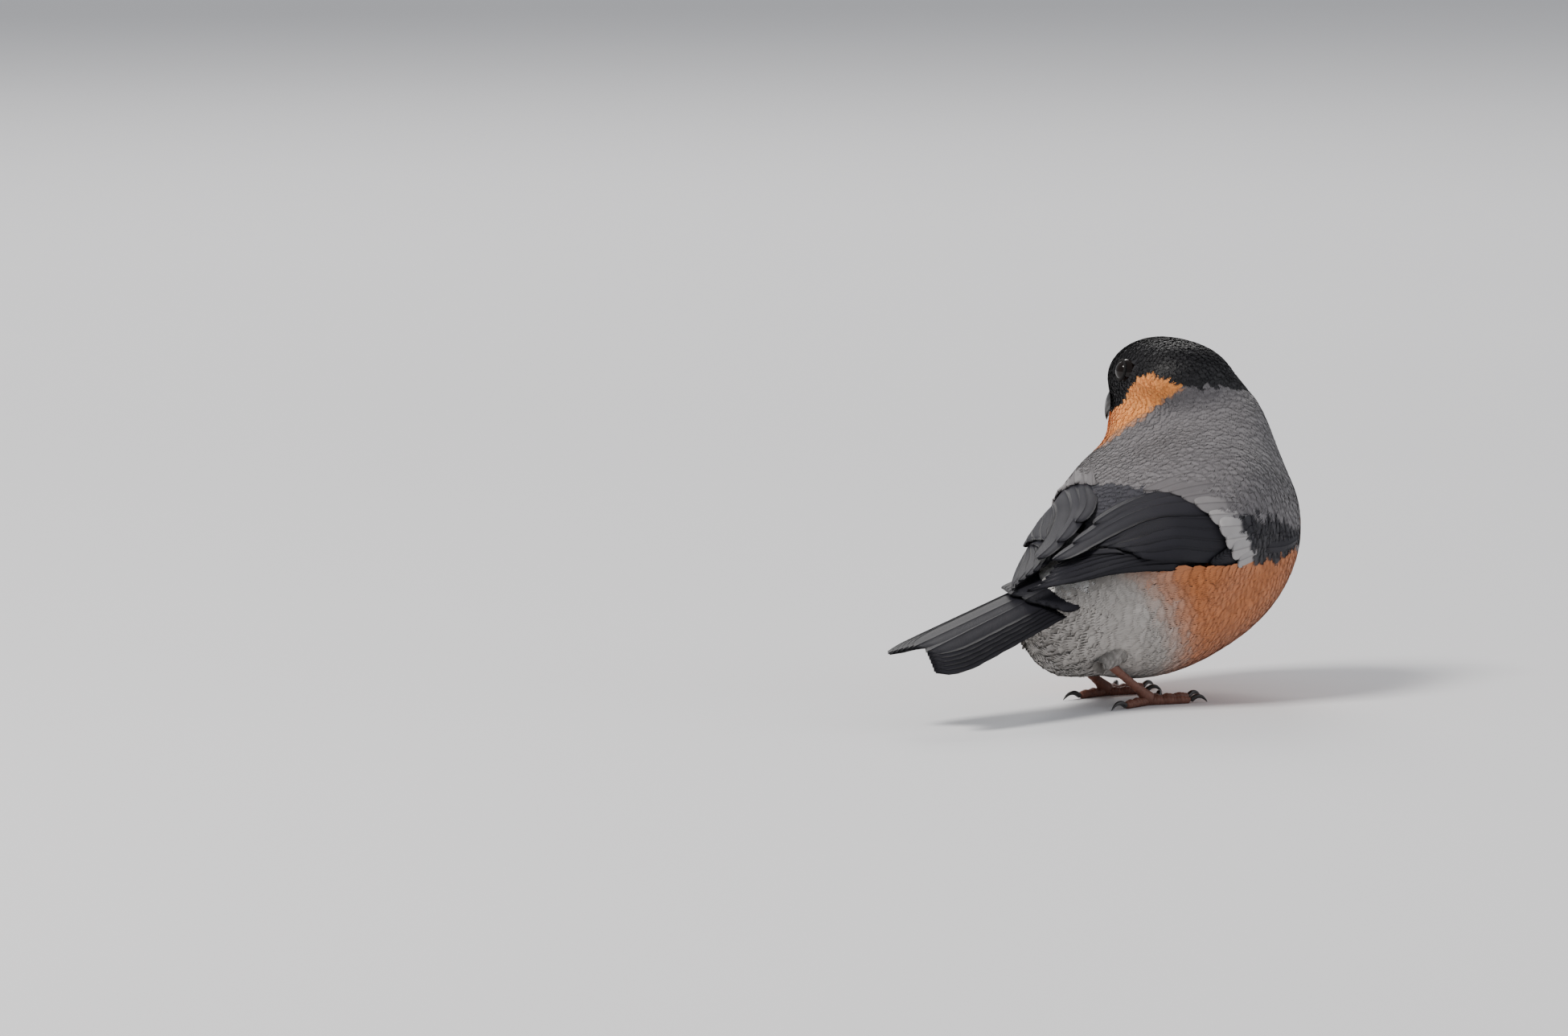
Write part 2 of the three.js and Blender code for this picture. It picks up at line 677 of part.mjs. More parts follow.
// A thin wall between two parts of the body, square to a direction.
function cut(at, direction) {
  const wall = new THREE.BoxGeometry(90, 90, GAP);
  wall.applyQuaternion(new THREE.Quaternion().setFromUnitVectors(vector(0, 0, 1), direction.normalize()));
  wall.translate(at.x, at.y, at.z);
  return solidOf(wall);
}

function bodyParts() {
  const room = [wingSpace(1, 0.2 + GAP), wingSpace(-1, 0.2 + GAP), tail(GAP)];
  for (const foot of Object.values(FEET)) {
    room.push(thigh(foot, GAP), tarsus(foot, GAP));
  }
  for (const side of [1, -1]) {
    room.push(ball(eyeCentre(side), EYE_RADIUS + GAP, 14, 10));
  }
  room.push(mandible(1, GAP), mandible(-1, GAP));
  const whole = joined([plumage(), eyelid(1), eyelid(-1)]).subtract(joined(room));
  const headCut = cut(vector(23, 4, 59.5), vector(0, 0.26, 0.96));
  const neckCut = cut(vector(26, 0, 53), vector(0.12, 0, 1));
  const pieces = whole.subtract(joined([headCut, neckCut])).decompose();
  pieces.sort((a, b) => b.volume() - a.volume());
  const middle = (solid) => {
    const box = solid.boundingBox();
    return (box.min[2] + box.max[2]) / 2;
  };
  const [torso, neck, head] = pieces.slice(0, 3).sort((a, b) => middle(a) - middle(b));
  return { torso, neck, head };
}

const COLOURS = {
  black: { color: 0x17161a, roughness: 0.45 },
  grey: { color: 0x77757a, roughness: 0.9 },
  orange: { color: 0xd0713a, roughness: 0.9 },
  eye: { color: 0x0b0706, roughness: 0.1 },
  horn: { color: 0x2a2726, roughness: 0.4 },
  leg: { color: 0x5a3a2c, roughness: 0.6 },
};

const bird = new THREE.Group();
bird.position.set(STANCE[0], STANCE[1], 0);

function add(name, solid, colour) {
  const material = new THREE.MeshStandardMaterial({ ...COLOURS[colour], metalness: 0 });
  const mesh = new THREE.Mesh(geometryOf(settled(solid)), material);
  mesh.name = name;
  bird.add(mesh);
}

const { torso, neck, head } = bodyParts();
add("torso", torso, "orange");
add("neck", neck, "grey");
add("head", head, "black");
add("tail", tail(), "black");
add("bill_upper", mandible(1).subtract(joined([nostril(1), nostril(-1)])), "horn");
add("bill_lower", mandible(-1), "horn");
for (const [name, side] of [["left", 1], ["right", -1]]) {
  const foot = FEET[name];
  add(`wing_${name}`, wing(side), "black");
  add(`eye_${name}`, ball(eyeCentre(side), EYE_RADIUS, 14, 10), "eye");
  add(`thigh_${name}`, thigh(foot).subtract(tarsus(foot, GAP)), "grey");
  add(`tarsus_${name}`, tarsus(foot), "leg");
  add(`foot_${name}`, footSolid(foot), "leg");
  for (const toe of TOES) {
    add(`claw_${name}_${toe.name}`, clawSolid(foot, toe), "horn");
  }
}

export default bird;
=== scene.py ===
"""A life-size model of a male bullfinch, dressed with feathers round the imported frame."""

import math

import bpy
import numpy as np
from mathutils import Matrix, Vector, kdtree


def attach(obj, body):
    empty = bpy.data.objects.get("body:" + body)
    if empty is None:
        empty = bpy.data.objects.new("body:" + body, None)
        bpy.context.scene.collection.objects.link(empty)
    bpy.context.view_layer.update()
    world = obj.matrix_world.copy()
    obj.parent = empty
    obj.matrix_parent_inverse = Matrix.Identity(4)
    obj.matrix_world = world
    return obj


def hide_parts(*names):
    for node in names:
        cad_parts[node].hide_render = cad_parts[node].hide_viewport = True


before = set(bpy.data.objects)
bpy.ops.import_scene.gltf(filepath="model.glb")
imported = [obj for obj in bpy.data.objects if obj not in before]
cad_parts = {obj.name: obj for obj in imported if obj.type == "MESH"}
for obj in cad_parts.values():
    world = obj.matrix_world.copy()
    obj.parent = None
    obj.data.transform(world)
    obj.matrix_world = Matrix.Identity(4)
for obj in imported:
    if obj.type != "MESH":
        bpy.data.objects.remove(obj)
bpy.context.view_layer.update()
draw = np.random.default_rng(7)

# Lengths are millimetres from the bird's standing point, and metres only in the finished meshes.
MM = 0.001
STANCE = np.array([9.7, 0.0, 0.0])  # the bird's standing point in the frame
GAP = 0.3
WING_LENGTH = 84.0
TAIL_LENGTH = 64.0
TARSUS_LENGTH = 17.0
BILL_LENGTH = 8.6
BILL_DEPTH = 9.4
BILL_WIDTH = 8.6
EYE_RADIUS = 2.9
COAT_DEPTH = 0.9  # from the feathers' outer surface to the skin


def lerp(a, b, share):
    return a + (b - a) * share


def smooth(low, high, x):
    t = np.clip((x - low) / (high - low), 0, 1)
    return t * t * (3 - 2 * t)


def unit(v):
    return v / np.maximum(np.linalg.norm(v, axis=-1, keepdims=True), 1e-9)


def turn(axis, degrees):
    """The matrix that turns about x, y or z, given as 0, 1 or 2."""
    c = math.cos(math.radians(degrees))
    s = math.sin(math.radians(degrees))
    i, j = [(1, 2), (2, 0), (0, 1)][axis]
    m = np.eye(3)
    m[i, i] = m[j, j] = c
    m[i, j] = -s
    m[j, i] = s
    return m


def profile(pairs):
    """A smooth curve through a few (x, value) pairs, in rising order of x."""
    xs, ys = np.array(pairs, float).T
    before = np.maximum(np.arange(len(xs)) - 1, 0)
    after = np.minimum(np.arange(len(xs)) + 1, len(xs) - 1)
    slopes = (ys[after] - ys[before]) / (xs[after] - xs[before])

    def at(x):
        i = np.clip(np.searchsorted(xs, x, side="right") - 1, 0, len(xs) - 2)
        span = xs[i + 1] - xs[i]
        t = np.clip((x - xs[i]) / span, 0, 1)
        t2 = t * t
        t3 = t2 * t
        return (
            (2 * t3 - 3 * t2 + 1) * ys[i]
            + (t3 - 2 * t2 + t) * span * slopes[i]
            + (3 * t2 - 2 * t3) * ys[i + 1]
            + (t3 - t2) * span * slopes[i + 1]
        )

    return at


# Plumage form: a smooth blend of rounded lumps

HEAD_AT = np.array([24.1, 3.8, 71.2])
HEAD_TURN = turn(2, 88) @ turn(1, 14) @ turn(0, 8)


def in_head(forward, left, up):
    return np.array([forward, left, up]) @ HEAD_TURN.T + HEAD_AT


def to_head(points):
    return (points - HEAD_AT) @ HEAD_TURN


# Centre, radii (length, width, height), turn and power: 2 is round and more is boxier.
LUMPS = [
    (np.array([27, 0, 37.7]), [23, 24.3, 23.4], np.eye(3), 2.1),  # breast
    (np.array([12.7, 0, 26.1]), [30.9, 21.2, 20], turn(1, -12.1), 2.2),  # belly
    (np.array([12.9, 0, 39.7]), [24.7, 26.1, 14.6], turn(1, -40.4), 2.4),  # back
    (np.array([-14.4, 0, 25.5]), [15.1, 9.9, 7.6], turn(1, -20.2), 2),  # rump
    (np.array([-16.3, 0, 17.8]), [11.9, 8.8, 9.9], turn(1, 18.8), 2),  # vent
    (np.array([31.5, 1.4, 55.7]), [14, 16.3, 17], np.eye(3), 2),  # neck
    (HEAD_AT, [12, 11.7, 8.3], HEAD_TURN, 2.1),  # cranium
    (in_head(6.4, 0, 1.8), [8.7, 10.1, 7.5], HEAD_TURN, 2),  # face
    (in_head(7.6, 0, -10.2), [7.3, 11.3, 7.4], HEAD_TURN, 2),  # throat
]
BLEND = 7


def plumage_distance(points):
    total = None
    for at, radii, turned, power in LUMPS:
        local = np.abs((points - at) @ turned)
        size = ((local / radii) ** power).sum(-1) ** (1 / power)
        d = np.linalg.norm(local, axis=-1) * (1 - 1 / np.maximum(size, 1e-6))
        if total is None:
            total = d
        else:
            near = np.maximum(BLEND - np.abs(total - d), 0) / BLEND
            total = np.minimum(total, d) - near * near * BLEND / 4
    return total


def plumage_slope(points):
    step = 0.2
    sides = [plumage_distance(points + e) - plumage_distance(points - e) for e in np.eye(3) * step]
    return np.stack(sides, -1) / (2 * step)


def settle(points, height=0.0, passes=3):
    """Points moved to a height over the plumage's outer surface, and the normals there."""
    for _ in range(passes):
        slope = plumage_slope(points)
        steep = np.maximum((slope**2).sum(-1, keepdims=True), 0.05)
        points = points - (plumage_distance(points) - height)[..., None] * slope / steep
    return points, unit(plumage_slope(points))


def reach(start, direction):
    """The plumage's surface, from an inner point along a direction."""
    inside = np.zeros(direction.shape[:-1])
    outside = inside + 70
    for _ in range(22):
        middle = (inside + outside) / 2
        within = plumage_distance(start + direction * middle[..., None]) < 0
        inside = np.where(within, middle, inside)
        outside = np.where(within, outside, middle)
    return start + direction * inside[..., None]


SPINE = np.array(
    [[-18, 0, 21], [-5, 0, 26], [9, 0, 30], [20, 0.5, 38], [26.5, 2, 52], [24.5, 5, 67]], float
)
spine_curves = [profile(list(zip(range(len(SPINE)), SPINE[:, k]))) for k in range(3)]


def spine(share):
    """Point and direction at a share of the line from the vent to the head."""
    x = np.asarray(share) * (len(SPINE) - 1)
    place = np.stack([curve(x) for curve in spine_curves], -1)
    ahead = np.stack([curve(np.minimum(x + 0.05, len(SPINE) - 1)) for curve in spine_curves], -1)
    behind = np.stack([curve(np.maximum(x - 0.05, 0)) for curve in spine_curves], -1)
    return place, unit(ahead - behind)


AROUND = 132
ALONG = 104
# Tilts of the rings that close each end, in degrees
CAP_ANGLES = np.array([86, 80, 73, 66, 58, 50, 41, 32, 22, 11])


def plumage_rings():
    """The plumage's outer surface as rings of points round the spine."""
    shares = np.concatenate([0 * CAP_ANGLES, np.linspace(0, 1, ALONG), 0 * CAP_ANGLES + 1])
    tilts = np.radians(np.concatenate([-CAP_ANGLES, np.zeros(ALONG), CAP_ANGLES[::-1]]))
    centre, along = spine(shares)
    left = np.array([0, 1, 0])
    dorsal = unit(np.cross(along, left))
    angle = np.arange(AROUND) / AROUND * 2 * math.pi
    ray = dorsal[:, None] * np.cos(angle)[None, :, None] + left * np.sin(angle)[None, :, None]
    ray = ray * np.cos(tilts)[:, None, None] + along[:, None] * np.sin(tilts)[:, None, None]
    starts = np.broadcast_to(centre[:, None], ray.shape)
    return reach(starts, unit(ray))


# The folded wing's outer surface, by place along the bird, x, and share of its arc, t

WING_FREE = 3.0
WING_TIP = 44 - 0.97 * WING_LENGTH
WING_POWER = 2.8
WING_RISE = -0.8
wing_low = profile([(-37.5, 29), (-28, 30), (-18, 32), (0, 32.3), (16, 32.5), (30, 33), (41, 36)])
wing_half = profile([(-37.5, 2.5), (-30, 9.5), (-20, 16.2), (-10, 21.5), (0, 25), (16, 26)])
wing_ridge = profile([(-37.5, 30.6), (-20, 37), (-7, 43.8), (2.5, 50), (16, 58)])
wing_inner = profile([(-37.5, 87), (-8, 86), (2.5, 64), (12, 47), (20, 37), (30, 28), (41, 15)])
GRID_X = np.linspace(-40, 42, 83)
GRID_T = np.linspace(-0.12, 1.1, 62)


def wing_grid(side):
    x, t = np.meshgrid(GRID_X, GRID_T, indexing="ij")
    angle = np.radians(t * wing_inner(x))
    low = np.stack([x, 0 * x, wing_low(x)], -1)
    out = np.stack([0 * x, side * np.cos(angle), np.sin(angle)], -1)
    across = np.abs(np.cos(angle) / wing_half(x)) ** WING_POWER
    upward = np.abs(np.sin(angle) / (wing_ridge(x) - wing_low(x))) ** WING_POWER
    free = (across + upward) ** (-1 / WING_POWER)
    share = smooth(WING_FREE - 8, WING_FREE + 8, x)
    fitted = np.linalg.norm(reach(low, out) - low, axis=-1)
    points = low + out * lerp(free, fitted, share)[..., None]
    normals = np.cross(np.gradient(points, axis=1), np.gradient(points, axis=0)) * side
    return points, unit(normals)


WING_GRIDS = {side: wing_grid(side) for side in (1, -1)}


def on_grid(values, x, t):
    i = np.clip((x - GRID_X[0]) / (GRID_X[1] - GRID_X[0]), 0, len(GRID_X) - 1.001)
    j = np.clip((t - GRID_T[0]) / (GRID_T[1] - GRID_T[0]), 0, len(GRID_T) - 1.001)
    i0 = i.astype(int)
    j0 = j.astype(int)
    a = (i - i0)[..., None]
    b = (j - j0)[..., None]
    near = lerp(values[i0, j0], values[i0, j0 + 1], b)
    far = lerp(values[i0 + 1, j0], values[i0 + 1, j0 + 1], b)
    return lerp(near, far, a)


def wing_place(side, x, t, height):
    points, normals = WING_GRIDS[side]
    normal = unit(on_grid(normals, x, t))
    point = on_grid(points, x, t) + normal * (height + WING_RISE)[..., None]
    point[..., 1] = side * np.maximum(side * point[..., 1], GAP * 0.6)
    return point, normal


def wing_arc(x):
    whole = np.linalg.norm(np.diff(WING_GRIDS[1][0], axis=1), axis=-1)
    shown = (GRID_T[1:] > 0) & (GRID_T[1:] <= 1)
    return np.interp(x, GRID_X, whole[:, shown].sum(1))


def wing_coordinates(points):
    """Place along the bird, share of the arc, and distance from the wing's lower axis."""
    x = points[..., 0]
    rise = points[..., 2] - wing_low(x)
    aside = np.abs(points[..., 1])
    t = np.degrees(np.arctan2(rise, aside)) / wing_inner(x)
    return x, t, np.hypot(rise, aside)


def wing_radius(points):
    """How far the folded wing's outer surface is from its lower axis, on the way to each point."""
    x, t, _ = wing_coordinates(points)
    left = on_grid(WING_GRIDS[1][0], x, t)
    right = on_grid(WING_GRIDS[-1][0], x, t)
    place = np.where(points[..., 1:2] > 0, left, right)
    return np.hypot(place[..., 1], place[..., 2] - wing_low(x))


# Rear edge of the wing bar, as the place along the bird for each share of the arc
bar_edge = profile(
    [(0, 13.2), (0.15, 9.2), (0.3, 6.8), (0.45, 4.9), (0.6, 3), (0.8, 1.8), (1, 0), (1.2, -5)]
)


# The lie of the coat

BILL_ROOT = in_head(13, 0, -2.5)
spine_points, spine_along = spine(np.linspace(0, 1, 60))


def lie(points, normals):
    """The way the feathers point: away from the bill on the head, and to the rear on the body."""
    gap = ((points[..., None, :] - spine_points) ** 2).sum(-1)
    gap -= gap.min(-1, keepdims=True)
    weight = np.exp(-gap / 160)
    body = -(weight[..., None] * spine_along).sum(-2) / weight.sum(-1)[..., None]
    away = unit(points - BILL_ROOT)
    local = to_head(points)
    share = smooth(-11, 2, local[..., 0]) * smooth(-26, -14, local[..., 2])
    way = lerp(body, away * 1.2, share[..., None])
    way[..., 0] -= 0.35 * (1 - share)
    return unit(way - (way * normals).sum(-1)[..., None] * normals)


# Markings, as colours of light reflected

BLACK = np.array([0.012, 0.0115, 0.0135])
WING_BLACK = np.array([0.016, 0.0155, 0.021])
GREY = np.array([0.165, 0.155, 0.162])
PALE = np.array([0.38, 0.365, 0.365])
WHITE = np.array([0.4, 0.375, 0.35])
RUMP_WHITE = np.array([0.78, 0.77, 0.75])
# The cheek's orange and the breast's are one colour on the bird: the cheek's is lighter by painted
# light, the breast's darker by painted shade.
CHEEK_PAINTED_LIGHT = np.array([0.86, 0.33, 0.085])
BREAST_PAINTED_SHADE = np.array([0.5, 0.165, 0.05])

# Lower edge of the black cap in the head's own frame: height for each place forward of its centre
cap_edge = profile([
    (-13, -3.6), (-9.7, -3.2), (-3.3, -0.4), (0.9, -1.2),
    (3.5, -2.8), (5.6, -4.7), (8, -5.8), (14, -6.4),
])
CHIN_DEPTH = 4.2  # how far the black reaches below that edge under the bill
# On the back, the orange ends at a bearing from the neck's axis, in degrees from straight ahead,
# given as heights and bearings. On the flank it ends along a sloping line.
NECK_AXIS = (25, 2)
BACK_FROM = 34
ORANGE_LEFT = ([30, 37, 43, 50, 57, 64, 71], [62, 50, 50, 86, 141, 172, 222])
ORANGE_RIGHT = ([30, 37, 42, 47, 60, 71], [-62, -50, -47, -34, -28, -30])
FLANK_SLOPE = 0.62
# Top of the black at the wing's bend: place along the bird and share of the wing's arc
BEND_TOP = ([8, 13.5, 17.5, 23.2, 30.5, 36, 43], [0.42, 0.5, 0.57, 0.62, 0.61, 0.45, 0.35])
CLASSES = ["cap", "orange", "grey", "pale", "dark"]
CAP_KIND, ORANGE_KIND, GREY_KIND, PALE_KIND, DARK_KIND = range(len(CLASSES))


def marking(points):
    """For each point, which of the coat's classes it has, and its colour."""
    count = len(points)
    jitter = draw.normal(0, 1, count)
    local = to_head(points)
    x, y, z = points.T
    _, t, _ = wing_coordinates(points)

    chin = CHIN_DEPTH * smooth(5, 9, local[:, 0]) * np.exp(-((local[:, 1] / 5) ** 2))
    cap = (local[:, 2] > cap_edge(local[:, 0]) - chin + 0.25 * jitter) & (z > 55)

    bearing = np.degrees(np.arctan2(y - NECK_AXIS[1], x - NECK_AXIS[0]))
    left = np.interp(z, *ORANGE_LEFT)
    right = np.interp(z, *ORANGE_RIGHT)
    bearing = np.where(bearing < right - 0.5 * (360 - left + right), bearing + 360, bearing)
    front = (bearing > right + 3 * jitter) & (bearing < left + 3 * jitter)
    flank_edge = -6 + (29 - z) * FLANK_SLOPE
    orange = np.where(z > BACK_FROM, front, x > flank_edge + 1.3 * jitter)

    rump = (x < -19) & (z > 28) & (np.abs(y) < 8)
    between_wings = (x < 1) & (z > 31) & ~rump & (t > 0.8)
    bend = (x < 42) & (x > 8) & (z < 46)
    bend &= z > wing_low(x) - 0.5 + 0.5 * jitter
    bend &= t < np.interp(x, *BEND_TOP) + 0.02 * jitter

    kind = np.full(count, GREY_KIND)
    kind[orange] = ORANGE_KIND
    kind[~orange & (z < BACK_FROM)] = PALE_KIND
    kind[bend & (~orange | (x < 39))] = DARK_KIND
    kind[cap] = CAP_KIND

    colour = np.zeros((count, 3))
    colour[kind == CAP_KIND] = BLACK
    # Painted light: the orange grows lighter from the breast up to the cheek, lit from above.
    orange_painted_lit_above = lerp(BREAST_PAINTED_SHADE, CHEEK_PAINTED_LIGHT, smooth(48, 62, z)[:, None])
    inward = smooth(-2, 7, x - flank_edge) + smooth(33, 36, z)
    some = kind == ORANGE_KIND
    colour[some] = lerp(lerp(BREAST_PAINTED_SHADE, WHITE, 0.45), orange_painted_lit_above, np.clip(inward, 0, 1)[:, None])[some]
    inside = np.minimum(bearing - right, left - bearing)
    some = (kind == ORANGE_KIND) & (z > 38)
    colour[some] = lerp(GREY, colour, (0.5 + 0.5 * smooth(0, 5, inside))[:, None])[some]
    some = kind == GREY_KIND
    colour[some] = lerp(GREY, orange_painted_lit_above, (0.5 * smooth(-5, 0, inside) * smooth(44, 48, z))[:, None])[some]
    some = kind == PALE_KIND
    toward_orange = smooth(-7, 1, x - flank_edge)[:, None]
    colour[some] = lerp(WHITE, lerp(BREAST_PAINTED_SHADE, WHITE, 0.5), toward_orange)[some]
    colour[kind == DARK_KIND] = WING_BLACK
    colour[between_wings] = WING_BLACK * 2
    colour[rump & (kind != CAP_KIND)] = RUMP_WHITE
    return kind, colour


# Meshes and materials


def material(
    name, roughness, bump=None, tint=None, colour=(0.5, 0.5, 0.5), mottle=0.25, scale=700, **sockets
):
    """A shader whose colour comes from the mesh's tint, or one colour, mottled by fine noise."""
    made = bpy.data.materials.new(name)
    made.use_nodes = True
    nodes = made.node_tree.nodes
    links = made.node_tree.links
    shader = nodes["Principled BSDF"]
    shader.inputs["Roughness"].default_value = roughness
    for socket, value in sockets.items():
        shader.inputs[socket.replace("_", " ")].default_value = value
    place = nodes.new("ShaderNodeTexCoord")
    noise = nodes.new("ShaderNodeTexNoise")
    noise.inputs["Scale"].default_value = scale
    noise.inputs["Detail"].default_value = 3
    links.new(place.outputs["Object"], noise.inputs["Vector"])
    spread = nodes.new("ShaderNodeMapRange")
    spread.inputs["To Min"].default_value = 1 - mottle
    spread.inputs["To Max"].default_value = 1 + mottle
    links.new(noise.outputs["Fac"], spread.inputs["Value"])
    mixed = nodes.new("ShaderNodeVectorMath")
    mixed.operation = "SCALE"
    links.new(spread.outputs["Result"], mixed.inputs["Scale"])
    if tint:
        source = nodes.new("ShaderNodeAttribute")
        source.attribute_name = tint
        links.new(source.outputs["Color"], mixed.inputs["Vector"])
    else:
        mixed.inputs["Vector"].default_value = colour
    links.new(mixed.outputs["Vector"], shader.inputs["Base Color"])
    if bump:
        raised = nodes.new("ShaderNodeBump")
        raised.inputs["Distance"].default_value = bump["depth"]
        raised.inputs["Strength"].default_value = bump.get("strength", 1)
        if "attribute" in bump:
            source = nodes.new("ShaderNodeAttribute")
            source.attribute_name = bump["attribute"]
            wave = nodes.new("ShaderNodeMath")
            wave.operation = "SINE"
            links.new(source.outputs["Fac"], wave.inputs[0])
            links.new(wave.outputs[0], raised.inputs["Height"])
        else:
            grain = nodes.new("ShaderNodeTexNoise")
            grain.inputs["Scale"].default_value = bump["scale"]
            grain.inputs["Detail"].default_value = 4
            links.new(place.outputs["Object"], grain.inputs["Vector"])
            links.new(grain.outputs["Fac"], raised.inputs["Height"])
        links.new(raised.outputs["Normal"], shader.inputs["Normal"])
    return made


BARB_STRIPES = {"attribute": "barb", "depth": 0.00003, "strength": 0.35}
COAT_SOFT = material(
    "coat_soft", 0.85, BARB_STRIPES, "tint", mottle=0.07, Sheen_Weight=0.2, Sheen_Roughness=0.5
)
COAT_CAP = material("coat_cap", 0.5, BARB_STRIPES, "tint", mottle=0.2, Specular_IOR_Level=0.4)
VANE = material("vane", 0.55, BARB_STRIPES, "tint", mottle=0.12, scale=300, Specular_IOR_Level=0.22)
SKIN = material("skin", 0.9, {"depth": 0.0002, "scale": 900}, "tint")
HORN = material(
    "horn", 0.33, {"depth": 0.00008, "scale": 1500}, colour=(0.013, 0.012, 0.012), Coat_Weight=0.15
)
LEG = material("leg", 0.55, {"depth": 0.00012, "scale": 1300}, colour=(0.16, 0.062, 0.04), mottle=0.35)
EYE = material("eye", 0.05, colour=(0.006, 0.003, 0.002), Specular_IOR_Level=0.22, Coat_Weight=0.1)
LID = material(
    "lid", 0.8, {"depth": 0.0001, "scale": 2500}, colour=(0.011, 0.01, 0.01), Specular_IOR_Level=0.2
)


def build(name, points, faces, finish, tint=None, barb=None, uv=None, replaced=()):
    """A shown piece from arrays of points and faces, riding on the root body."""
    mesh = bpy.data.meshes.new(name)
    mesh.from_pydata(((points + STANCE) * MM).tolist(), [], [list(map(int, f)) for f in faces])
    mesh.shade_smooth()
    if tint is not None:
        layer = mesh.color_attributes.new("tint", "FLOAT_COLOR", "POINT")
        full = np.concatenate([np.clip(tint, 0, 1), np.ones((len(tint), 1))], 1)
        layer.data.foreach_set("color", full.ravel().astype(np.float32))
    if barb is not None:
        mesh.attributes.new("barb", "FLOAT", "POINT").data.foreach_set("value", barb.astype(np.float32))
    if uv is not None:
        corner = np.empty(len(mesh.loops), np.int32)
        mesh.loops.foreach_get("vertex_index", corner)
        spot = uv[corner] if len(uv) == len(points) else uv
        mesh.uv_layers.new(name="OFBake").data.foreach_set("uv", spot.ravel().astype(np.float32))
    mesh.materials.append(finish)
    made = bpy.data.objects.new(name, mesh)
    bpy.context.scene.collection.objects.link(made)
    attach(made, "root")
    if replaced:
        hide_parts(*replaced)
    return made


def grid_faces(rows, columns, count=1, wrap=False):
    """Four-sided faces of a number of grids of rows by columns, their points in that order."""
    r, c = np.meshgrid(np.arange(rows - 1), np.arange(columns if wrap else columns - 1), indexing="ij")
    after = (c + 1) % columns
    near = r * columns
    far = near + columns
    one = np.stack([near + c, near + after, far + after, far + c], -1).reshape(-1, 4)
    starts = np.arange(count) * rows * columns
    return (one[None] + starts[:, None, None]).reshape(-1, 4)


# Skin

WING_COVER = 3.7  # depth of the skin under the wing's outer surface
# The skin is the plumage's colour darkened: painted shade in the gaps between the feathers.
SKIN_PAINTED_SHADE = 0.75
rings = plumage_rings()
ring_count = len(rings)


def skin_points():
    """The skin, drawn in where the folded wings cover it."""
    flat = rings.reshape(-1, 3)
    points, _ = settle(flat, -COAT_DEPTH, 2)
    x, t, radius = wing_coordinates(points)
    limit = wing_radius(points) - WING_COVER
    edge = bar_edge(np.clip(t, 0, 1.2))
    under = smooth(edge + 9, edge + 3, x) * smooth(-0.1, -0.02, t)
    under *= (x > -37) & (points[:, 2] > wing_low(x) - 2)
    shrink = np.where(radius > limit, lerp(1, limit / np.maximum(radius, 1), under), 1)
    points[:, 1] *= shrink
    points[:, 2] = wing_low(x) + (points[:, 2] - wing_low(x)) * shrink
    return points


def make_skin():
    points = skin_points()
    faces = grid_faces(ring_count, AROUND, wrap=True).tolist()
    first = len(points)
    points = np.concatenate([points, points[:AROUND].mean(0)[None], points[-AROUND:].mean(0)[None]])
    last_ring = (ring_count - 1) * AROUND
    for k in range(AROUND):
        faces.append([first, (k + 1) % AROUND, k])
        faces.append([first + 1, last_ring + k, last_ring + (k + 1) % AROUND])
    _, colour = marking(points)
    x, t, _ = wing_coordinates(points)
    colour[(t > 0.02) & (x < bar_edge(np.clip(t, 0, 1.2)) + 8)] = WING_BLACK
    ring = np.concatenate([np.repeat(np.arange(ring_count), AROUND) + 1, [0, ring_count + 1]])
    column = np.concatenate([np.tile(np.arange(AROUND), ring_count), [0, 0]])
    spots = []
    for face in faces:
        around = [column[v] for v in face if v < first]
        crosses = max(around) - min(around) > AROUND / 2
        middle = sum(around) / len(around)
        for v in face:
            past_seam = AROUND if crosses and column[v] < AROUND / 2 else 0
            place = column[v] + past_seam if v < first else middle
            spots.append((place / (AROUND + 1), ring[v] / (ring_count + 2)))
    return build(
        "skin", points, faces, SKIN, colour * SKIN_PAINTED_SHADE, uv=np.array(spots),
        replaced=("torso", "neck", "head", "thigh_left", "thigh_right"),
    )


make_skin()

# Contour feathers

DRAWN_ROOTS = 110000
ROOT_SPACING = 0.225  # as a share of a feather's length, like its half width
FEATHER_HALF_WIDTH = 0.36
# Distances from the bill's root, and the lengths there
FEATHER_LENGTHS = ([4, 9, 14, 22, 32, 48], [1.2, 1.6, 2.1, 2.8, 4.0, 5.4])
ROOT_DEPTH = 0.22
BILL_BASE = (4.2, 4.9)  # half width and half depth
BILL_START = np.array([13.6, 0, -2.6])
BILL_TURN = turn(1, 9)
BARBS = 10
PATCH = 0.003  # of a feather on the map of the skin
MOST_IN_PIECE = 2300  # feathers
ROWS = np.array([0, 0.34, 0.62, 1.0])
ROW_WIDTHS = np.array([0.45, 0.95, 1.0, 0.8])
COLUMNS = np.linspace(-1, 1, 15)
ODD = np.arange(len(COLUMNS)) % 2
FEATHER_PATCH = np.stack(np.broadcast_arrays(COLUMNS[None, :] / 2, ROWS[:, None] - 0.5), -1) * PATCH


def eye_centre(side):
    out = unit(in_head(4.6, side * 12, 2) - HEAD_AT)
    return reach(HEAD_AT[None], out[None])[0] + out * (1.15 - EYE_RADIUS), out


def in_bill_frame(points):
    """Along, left and up of the gape line, from the bill's root."""
    return (to_head(points) - BILL_START) @ BILL_TURN


